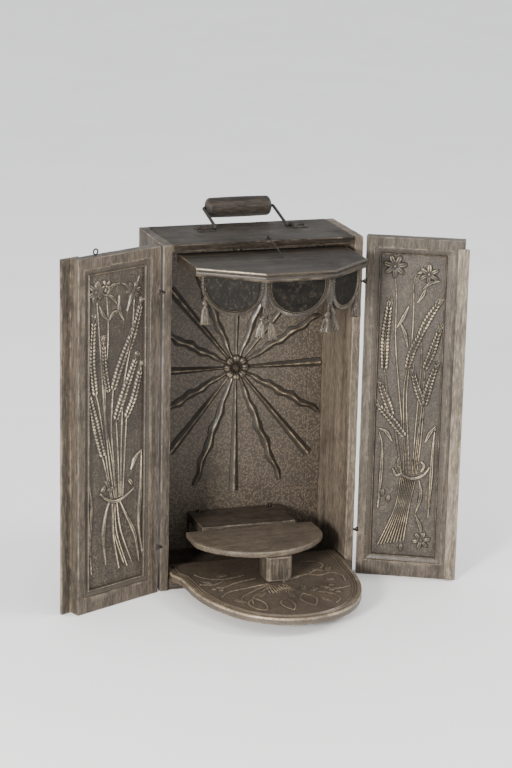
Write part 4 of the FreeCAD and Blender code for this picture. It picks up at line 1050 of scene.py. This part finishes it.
# The cornice's profile, as how far out and how far down from the canopy's top edge.
CORNICE = ((-2.6, 0.0), (-1.4, -0.5), (-0.4, -0.2), (0.35, 0.6), (0.45, 1.4), (0.1, 2.3), (-0.7, 2.9),
           (-1.3, 3.5), (-0.8, 4.3), (-0.1, 5.2), (0.25, 6.6), (0.0, 8.2), (-0.8, 9.7),
           (-2.0, 11.0), (-3.3, 12.0), (-5.0, 12.6))
CORNICE_CELL = 2.5 * MM
CORNICE_NICK = 0.10 * MM
# The cornice follows the corners this near the top, and none this near the back.
CORNICE_SLACK = 0.1 * MM
CORNICE_BACK = 60 * MM


def mitre(first, second):
    """The way out at a corner, lengthened so that both edges keep their distance."""
    both = first + second
    return both / (both @ first)


def cornice_mesh():
    """The canopy's front edge: a bead over a groove and a rounded band, mitred at the corners."""
    vertices = nodes["canopy_board"].data.vertices
    corners = sorted({(round(vertex.co.x, 5), round(vertex.co.y, 5)) for vertex in vertices
                      if vertex.co.z > canopy_high.z - CORNICE_SLACK
                      and vertex.co.y < canopy_high.y - CORNICE_BACK})
    corners = [np.array(corner) for corner in corners]
    ways = [(after - before) / np.linalg.norm(after - before)
            for before, after in zip(corners, corners[1:])]
    outs = [np.array((way[1], -way[0])) for way in ways]
    turns = [outs[0], *(mitre(before, after) for before, after in zip(outs, outs[1:])), outs[-1]]
    rows, glints = [], []
    for index, (start, end) in enumerate(zip(corners, corners[1:])):
        count = int(np.linalg.norm(end - start) / CORNICE_CELL)
        for share in np.arange(count + 1) / count:
            spot = start * (1 - share) + end * share
            out = turns[index] * (1 - share) + turns[index + 1] * share
            nick = CORNICE_NICK * noise.noise(Vector((spot[0] * 90, spot[1] * 90, 3.0)))
            rows.append([(*(spot + out * (reach * MM + nick)), canopy_high.z - fall * MM + nick)
                         for reach, fall in CORNICE])
            # Painted highlight: the bead is bright along the left facet, where it catches the light,
            # and dimmer on the others.
            glints.append([1.0 if index == 0 else 0.35])
    bead = [1.0 if 0 <= fall <= 2.3 and reach > -0.5 else 0.25 for reach, fall in CORNICE]
    relief = np.array(glints) * np.array(bead) * 0.9
    return grid_mesh("cornice", np.array(rows), facing=(0, -1, 0.2), relief=relief, wear=relief * 0)


add_piece("canopy_cornice", cornice_mesh(), "canopy", "gilt_edge", sharp=60)

# ---------------------------------------------------------------- the valance

# A lobe's top line is read from its points this near the top.
TOP_SLACK = 0.2 * MM
LOBE_FINE = 400
# The fringe: its depth, a strand's width, how far it stands out and sinks in, and how far out its
# painted highlight is full.
FRINGE = 7.5 * MM
STRAND = 1.9 * MM
STRAND_STATIONS = 6
FRINGE_RISE = 2.6 * MM
FRINGE_SINK = 2.2 * MM
FRINGE_BRIGHT = 2.4 * MM
# How far the strands' tips are from an even line, on average and each for itself.
TIP_SHIFT = -0.3 * MM
TIP_SPREAD = 0.4 * MM
# How far down each lobe's sides run straight before its edge turns in.
SHOULDERS = {"left": 9 * MM, "middle": 9 * MM, "right": 16 * MM}
# Across the fringe, from its inner edge to the tips.
FRINGE_SHARES = (0, 0.07, 0.14, 0.21, 0.28, 0.34, 0.42, 0.56, 0.70, 0.84, 0.95, 1.0)
# The pendant web between two lobes: its size, its place and its hatched relief.
WEB_DROP = 36 * MM
WEB_HALF = 4.6 * MM
WEB_THICK = 3.4 * MM
WEB_GAP = 1.4 * MM
WEB_SINK = 1.0 * MM
WEB_CROWN = 1.4 * MM
WEB_HATCH = 0.45 * MM


def facet_frame(node):
    """A frame for a lobe of the valance: origin at its top middle, X along it, Z up, -Y outwards."""
    points = np.array([vertex.co[:] for vertex in nodes[node].data.vertices])
    height = points[:, 2].max()
    top = points[points[:, 2] > height - TOP_SLACK]
    middle = (top[top[:, 0].argmin()] + top[top[:, 0].argmax()]) / 2
    way = np.linalg.svd(top[:, :2] - top[:, :2].mean(0))[2][0]
    if way[0] < 0:
        way = -way
    turn = Matrix(((way[0], -way[1], 0), (way[1], way[0], 0), (0, 0, 1))).to_4x4()
    return Matrix.Translation(Vector((middle[0], middle[1], height))) @ turn


def lobe_size(lobe):
    """A lobe's frame, and in it the lobe's middle, half width, drop, front and back."""
    node = "valance_fringe_" + lobe
    matrix = facet_frame(node)
    low, high = extent(node, matrix.inverted())
    return matrix, (low.x + high.x) / 2, (high.x - low.x) / 2, -low.z, low.y, high.y


def lobe_edge(half, drop, shoulder):
    """A lobe's hanging edge as a fine line, left to right, and the distances along it."""
    turn = np.linspace(0, math.pi, LOBE_FINE)
    arc = np.stack([-half * np.cos(turn), -shoulder - (drop - shoulder) * np.sin(turn)], axis=1)
    line = np.vstack([[(-half, 0)], arc, [(half, 0)]])
    return line, distances_along(line)


def fringe_mesh(lobe):
    """A carved fringe round a lobe: a twisted cord inside and a comb of strands outside."""
    matrix, middle, half, drop, front, back = lobe_size(lobe)
    edge, distances = lobe_edge(half, drop, SHOULDERS[lobe])
    strands = int(distances[-1] / STRAND)
    stations = strands * STRAND_STATIONS
    line, ways = evenly(edge, distances, stations)
    outward = np.stack([ways[:, 1], -ways[:, 0]], axis=1)
    phase = np.linspace(0, strands * math.pi, stations)[:, None]
    random = np.random.default_rng(len(lobe))
    ragged = random.normal(TIP_SHIFT, TIP_SPREAD, strands + 1)
    tips = ragged[(phase / math.pi).astype(int).clip(0, strands)]
    share = np.array([FRINGE_SHARES])
    offset = -FRINGE * (1 - share) + tips * share ** 3
    cord = np.sin(math.pi * ramp(share, 0, 0.30)) * (0.75 + 0.25 * np.cos(phase + share * 16))
    comb = np.where(share > 0.30, 0.30 + 0.48 * np.abs(np.cos(phase)) ** 0.7, 0.1)
    comb = comb * np.where(share > 0.9, 0.6, 1)
    rise = np.maximum(cord, comb) * FRINGE_RISE
    face = np.stack([middle + line[:, :1] + outward[:, :1] * offset, front + FRINGE_SINK - rise,
                     line[:, 1:] + outward[:, 1:] * offset], axis=2)
    rear = face[:, ::-1].copy()
    rear[..., 1] = back
    points = np.concatenate([face, rear], axis=1)
    # The fringe is bright where it stands out: rubbed gilding with a painted highlight.
    relief = np.concatenate([ramp(rise, 0, FRINGE_BRIGHT) ** 2 * 0.95, 0.05 + 0 * rise], axis=1)
    return close_ends(grid_mesh("fringe", transformed(points, matrix), wrap_columns=True,
                                relief=relief))


for lobe in SHOULDERS:
    add_piece("fringe_" + lobe, fringe_mesh(lobe), "canopy", "fringe",
              ["valance_fringe_" + lobe], sharp=70)


def web_edge(half, drop, shoulder, depth):
    """How far a web reaches into its lobe's corner at each depth, from the lobe's widest line."""
    away = half * (1 - dome(ramp(depth, shoulder, drop))) + WEB_GAP
    point = 1 - ramp(depth / WEB_DROP, 0.8, 1.0) ** 2 * 0.8
    return np.minimum(away, WEB_HALF) * point


def web_mesh(left_lobe, right_lobe):
    """The hatched pendant in the corner between two lobes, folded along the canopy's corner."""
    rows, columns = 70, 25
    depth = np.linspace(0, 1, rows) * WEB_DROP
    edges = []
    for lobe, side in ((left_lobe, 1), (right_lobe, -1)):
        matrix, middle, half, drop, front, _ = lobe_size(lobe)
        x = middle + side * (half - web_edge(half, drop, SHOULDERS[lobe], depth))
        edges.append(transformed(np.stack([x, np.full(rows, front + WEB_SINK), -depth], 1), matrix))
    share = np.linspace(0, 1, columns)[None]
    sheet = edges[0][:, None] * (1 - share[..., None]) + edges[1][:, None] * share[..., None]
    outward = np.array((0.0, -1.0, 0.0))
    crown = WEB_CROWN * np.sin(math.pi * share)
    hatch = WEB_HATCH * np.cos((np.arange(rows) * 1.5)[:, None] + share * 12)
    sheet = sheet + outward * (crown + hatch)[..., None]
    points = np.concatenate([sheet, sheet[:, ::-1] - outward * WEB_THICK], axis=1)
    relief = np.concatenate([0.30 + hatch / MM * 0.5, 0.05 + 0 * hatch], axis=1)
    return close_ends(grid_mesh("web", points, wrap_columns=True, relief=relief))


add_piece("valance_webs", joined("webs", [web_mesh("left", "middle"), web_mesh("middle", "right")]),
          "canopy", "fringe", ["valance_pendants"], sharp=70)

# A tassel's outline: shares of its length, and of its half width there.
TASSEL_SHARES = (0, 0.24, 0.28, 0.34, 0.42, 0.48, 0.54, 0.78, 0.97, 1.0)
TASSEL_WIDTHS = (0.17, 0.17, 0.40, 0.60, 0.60, 0.42, 0.56, 0.86, 1.0, 0.4)


def tassel_mesh(points, index):
    """A carved tassel on its cord: a bound head over a skirt of strands in two bunches."""
    centre = points.mean(0)
    way = np.linalg.svd(points - centre)[2][0]
    if way[2] > 0:
        way = -way
    along = (points - centre) @ way
    start = centre + way * along.min()
    length = along.max() - along.min()
    half = np.linalg.norm(points - centre - np.outer(along, way), axis=1).max()
    side = np.cross(way, (0.0, 1.0, 0.0))
    side /= np.linalg.norm(side)
    depth = np.cross(way, side)
    share, turn = round_grid(rings=60, turns=84)
    radius = np.interp(share, TASSEL_SHARES, TASSEL_WIDTHS)
    skirt = ramp(share, 0.50, 0.60)
    strands = np.abs(np.cos(turn * 7 + index + share * 1.5))
    bunches = 0.80 + 0.20 * np.abs(np.cos(turn))
    radius = radius * (1 - 0.26 * (1 - strands) * skirt) * (1 - skirt + skirt * bunches)
    binding = 0.12 * np.cos(turn * 4 + share * 40) * (share > 0.28) * (share < 0.46)
    cord = 0.25 * np.cos(turn * 2 + share * 90) * (share < 0.26)
    radius = half * radius * (1 - binding) * (1 - cord)
    reach = length * share * (1 - 0.06 * (1 - strands) * skirt * share)
    spots = (start + way * reach[..., None] + side * (radius * np.cos(turn))[..., None]
             + depth * (radius * np.sin(turn))[..., None])
    relief = 0.15 + 0.75 * strands * skirt + 0.35 * (1 - skirt)
    return close_ends(grid_mesh("tassel_%d" % index, spots, wrap_columns=True, relief=relief))


def loose_parts(node):
    """The points of each separate solid in a CAD node."""
    bm = bmesh.new()
    bm.from_mesh(nodes[node].data)
    bmesh.ops.remove_doubles(bm, verts=bm.verts, dist=1e-5)
    seen = set()
    parts = []
    for start in bm.verts:
        if start in seen:
            continue
        group, waiting = [], [start]
        seen.add(start)
        while waiting:
            vertex = waiting.pop()
            group.append(vertex.co[:])
            for edge in vertex.link_edges:
                other = edge.other_vert(vertex)
                if other not in seen:
                    seen.add(other)
                    waiting.append(other)
        parts.append(np.array(group))
    bm.free()
    return parts


tassels = [tassel_mesh(points, index)
           for index, points in enumerate(loose_parts("valance_tassels"))]
add_piece("tassels", joined("tassels", tassels), "canopy", "fringe",
          ["valance_tassels"], sharp=70)

# ---------------------------------------------------------------- the handle and the fittings

grip_low, grip_high = extent("handle_grip")
GRIP_END = 6.5 * MM
GRIP_WORN = 9 * MM
GRIP_MARK = 0.05 * MM


def grip_mesh():
    """The turned grip: a slight belly, soft ends, turning marks and a hollow worn by the hand."""
    share, turn = round_grid(rings=120, turns=72)
    centre = (grip_low + grip_high) / 2
    length = grip_high.x - grip_low.x
    half = (grip_high.z - grip_low.z) / 2
    distance = np.minimum(share, 1 - share) * length
    shoulder = dome(1 - ramp(distance, 0, GRIP_END))
    radius = half * (0.30 + 0.70 * shoulder) * (0.955 + 0.045 * np.sin(math.pi * share))
    radius = radius - GRIP_MARK * (np.cos(share * 2 * math.pi * 13) > 0.9)
    radius = radius * (1 - 0.012 * np.cos(turn * 2 + 0.7))
    points = np.stack([grip_low.x + length * share + 0 * turn, centre.y + radius * np.cos(turn),
                       centre.z + radius * np.sin(turn)], axis=2)
    wear = (1 - ramp(distance, 0, GRIP_WORN)) * 0.6 + 0 * turn
    return close_ends(grid_mesh("grip", points, wrap_columns=True, wear=wear))


add_piece("grip_turned", grip_mesh(), "handle", "grip", ["handle_grip"], sharp=60)
worn_copy("saddles_worn", "handle_saddles", "case", "iron", bevel=0.25 * MM, cell=6 * MM,
          chip=0.15 * MM)
# CAD nodes that only need a material.
KEPT = {
    "iron": ("door_hinge_eyes", "canopy_fixed_eyes", "shelf_fixed_eyes", "board_fixed_eyes",
             "hook_staple", "saddle_nails", "case_nails", "left_door_hinge_eyes",
             "left_door_latch_eye", "right_door_hinge_eyes", "canopy_moving_eyes", "canopy_catch",
             "latch_hook", "shelf_moving_eyes", "board_moving_eyes", "handle_bail"),
    "painted": ("valance_panel_left", "valance_panel_middle", "valance_panel_right"),
}
for material, names in KEPT.items():
    for name in names:
        dress(nodes[name], material)

# ---------------------------------------------------------------- floor, light and camera

FLOOR_SIZE = 15.0
FLOOR_SINK = 0.0004
# The photograph's viewpoint: from the front left, a little above, with a long lens.
CAMERA_PLACE = (-0.9898, -2.9736, 1.1469)
CAMERA_YAW, CAMERA_PITCH, CAMERA_ROLL = (math.radians(angle) for angle in (18.62, 15.67, 1.26))
CAMERA_LENS = 111.2
CAMERA_SENSOR = 36.0
LIGHT_TARGET = Vector((0, 0, 0.25))
LIGHT_TONE = (1.0, 0.98, 0.95)
ROOM_TONE = (0.97, 0.98, 1.0, 1)
ROOM_LIGHT = 1.3


def stage_floor():
    """A wide pale floor that reaches past the top of the picture."""
    ticks = np.linspace(-FLOOR_SIZE, FLOOR_SIZE, 3)
    points = np.array([[(x, y, -FLOOR_SINK) for x in ticks] for y in ticks])
    floor = placed("floor", grid_mesh("floor", points, facing=(0, 0, 1)))
    shader = Shader("paper")
    paper = shader.noise(3.0, 4.0, 0.5)
    tone = shader.cover((0.90, 0.90, 0.895), (0.94, 0.94, 0.935), paper, 0.3, 0.7)
    floor.data.materials.append(shader.finish(Base_Color=tone, Roughness=0.9))


def area_light(name, place, size, power):
    """A square lamp that faces the box."""
    data = bpy.data.lights.new(name, "AREA")
    data.shape = "RECTANGLE"
    data.size = data.size_y = size
    data.energy = power
    data.color = LIGHT_TONE
    lamp = placed(name, data)
    lamp.location = place
    lamp.rotation_euler = (LIGHT_TARGET - Vector(place)).to_track_quat("-Z", "Y").to_euler()


def room_light():
    """Even light from all round."""
    world = bpy.data.worlds.new("room")
    world.use_nodes = True
    sky = world.node_tree.nodes["Background"]
    sky.inputs["Color"].default_value = ROOM_TONE
    sky.inputs["Strength"].default_value = ROOM_LIGHT
    bpy.context.scene.world = world


def camera():
    """The camera at the photograph's viewpoint."""
    forward = Vector((math.sin(CAMERA_YAW) * math.cos(CAMERA_PITCH),
                      math.cos(CAMERA_YAW) * math.cos(CAMERA_PITCH), -math.sin(CAMERA_PITCH)))
    level = Vector((math.cos(CAMERA_YAW), -math.sin(CAMERA_YAW), 0))
    upright = level.cross(forward)
    right = level * math.cos(CAMERA_ROLL) + upright * math.sin(CAMERA_ROLL)
    up = upright * math.cos(CAMERA_ROLL) - level * math.sin(CAMERA_ROLL)
    turn = Matrix((right, up, -forward)).transposed().to_4x4()
    data = bpy.data.cameras.new("camera")
    data.sensor_width = CAMERA_SENSOR
    data.lens = CAMERA_LENS
    data.clip_end = 50
    viewer = placed("camera", data)
    viewer.matrix_world = Matrix.Translation(Vector(CAMERA_PLACE)) @ turn
    bpy.context.scene.camera = viewer


stage_floor()
area_light("front_left", (-2.25, -2.4, 1.0), 0.55, 205)
area_light("back_right", (2.2, -0.9, 1.8), 0.8, 48)
room_light()
camera()
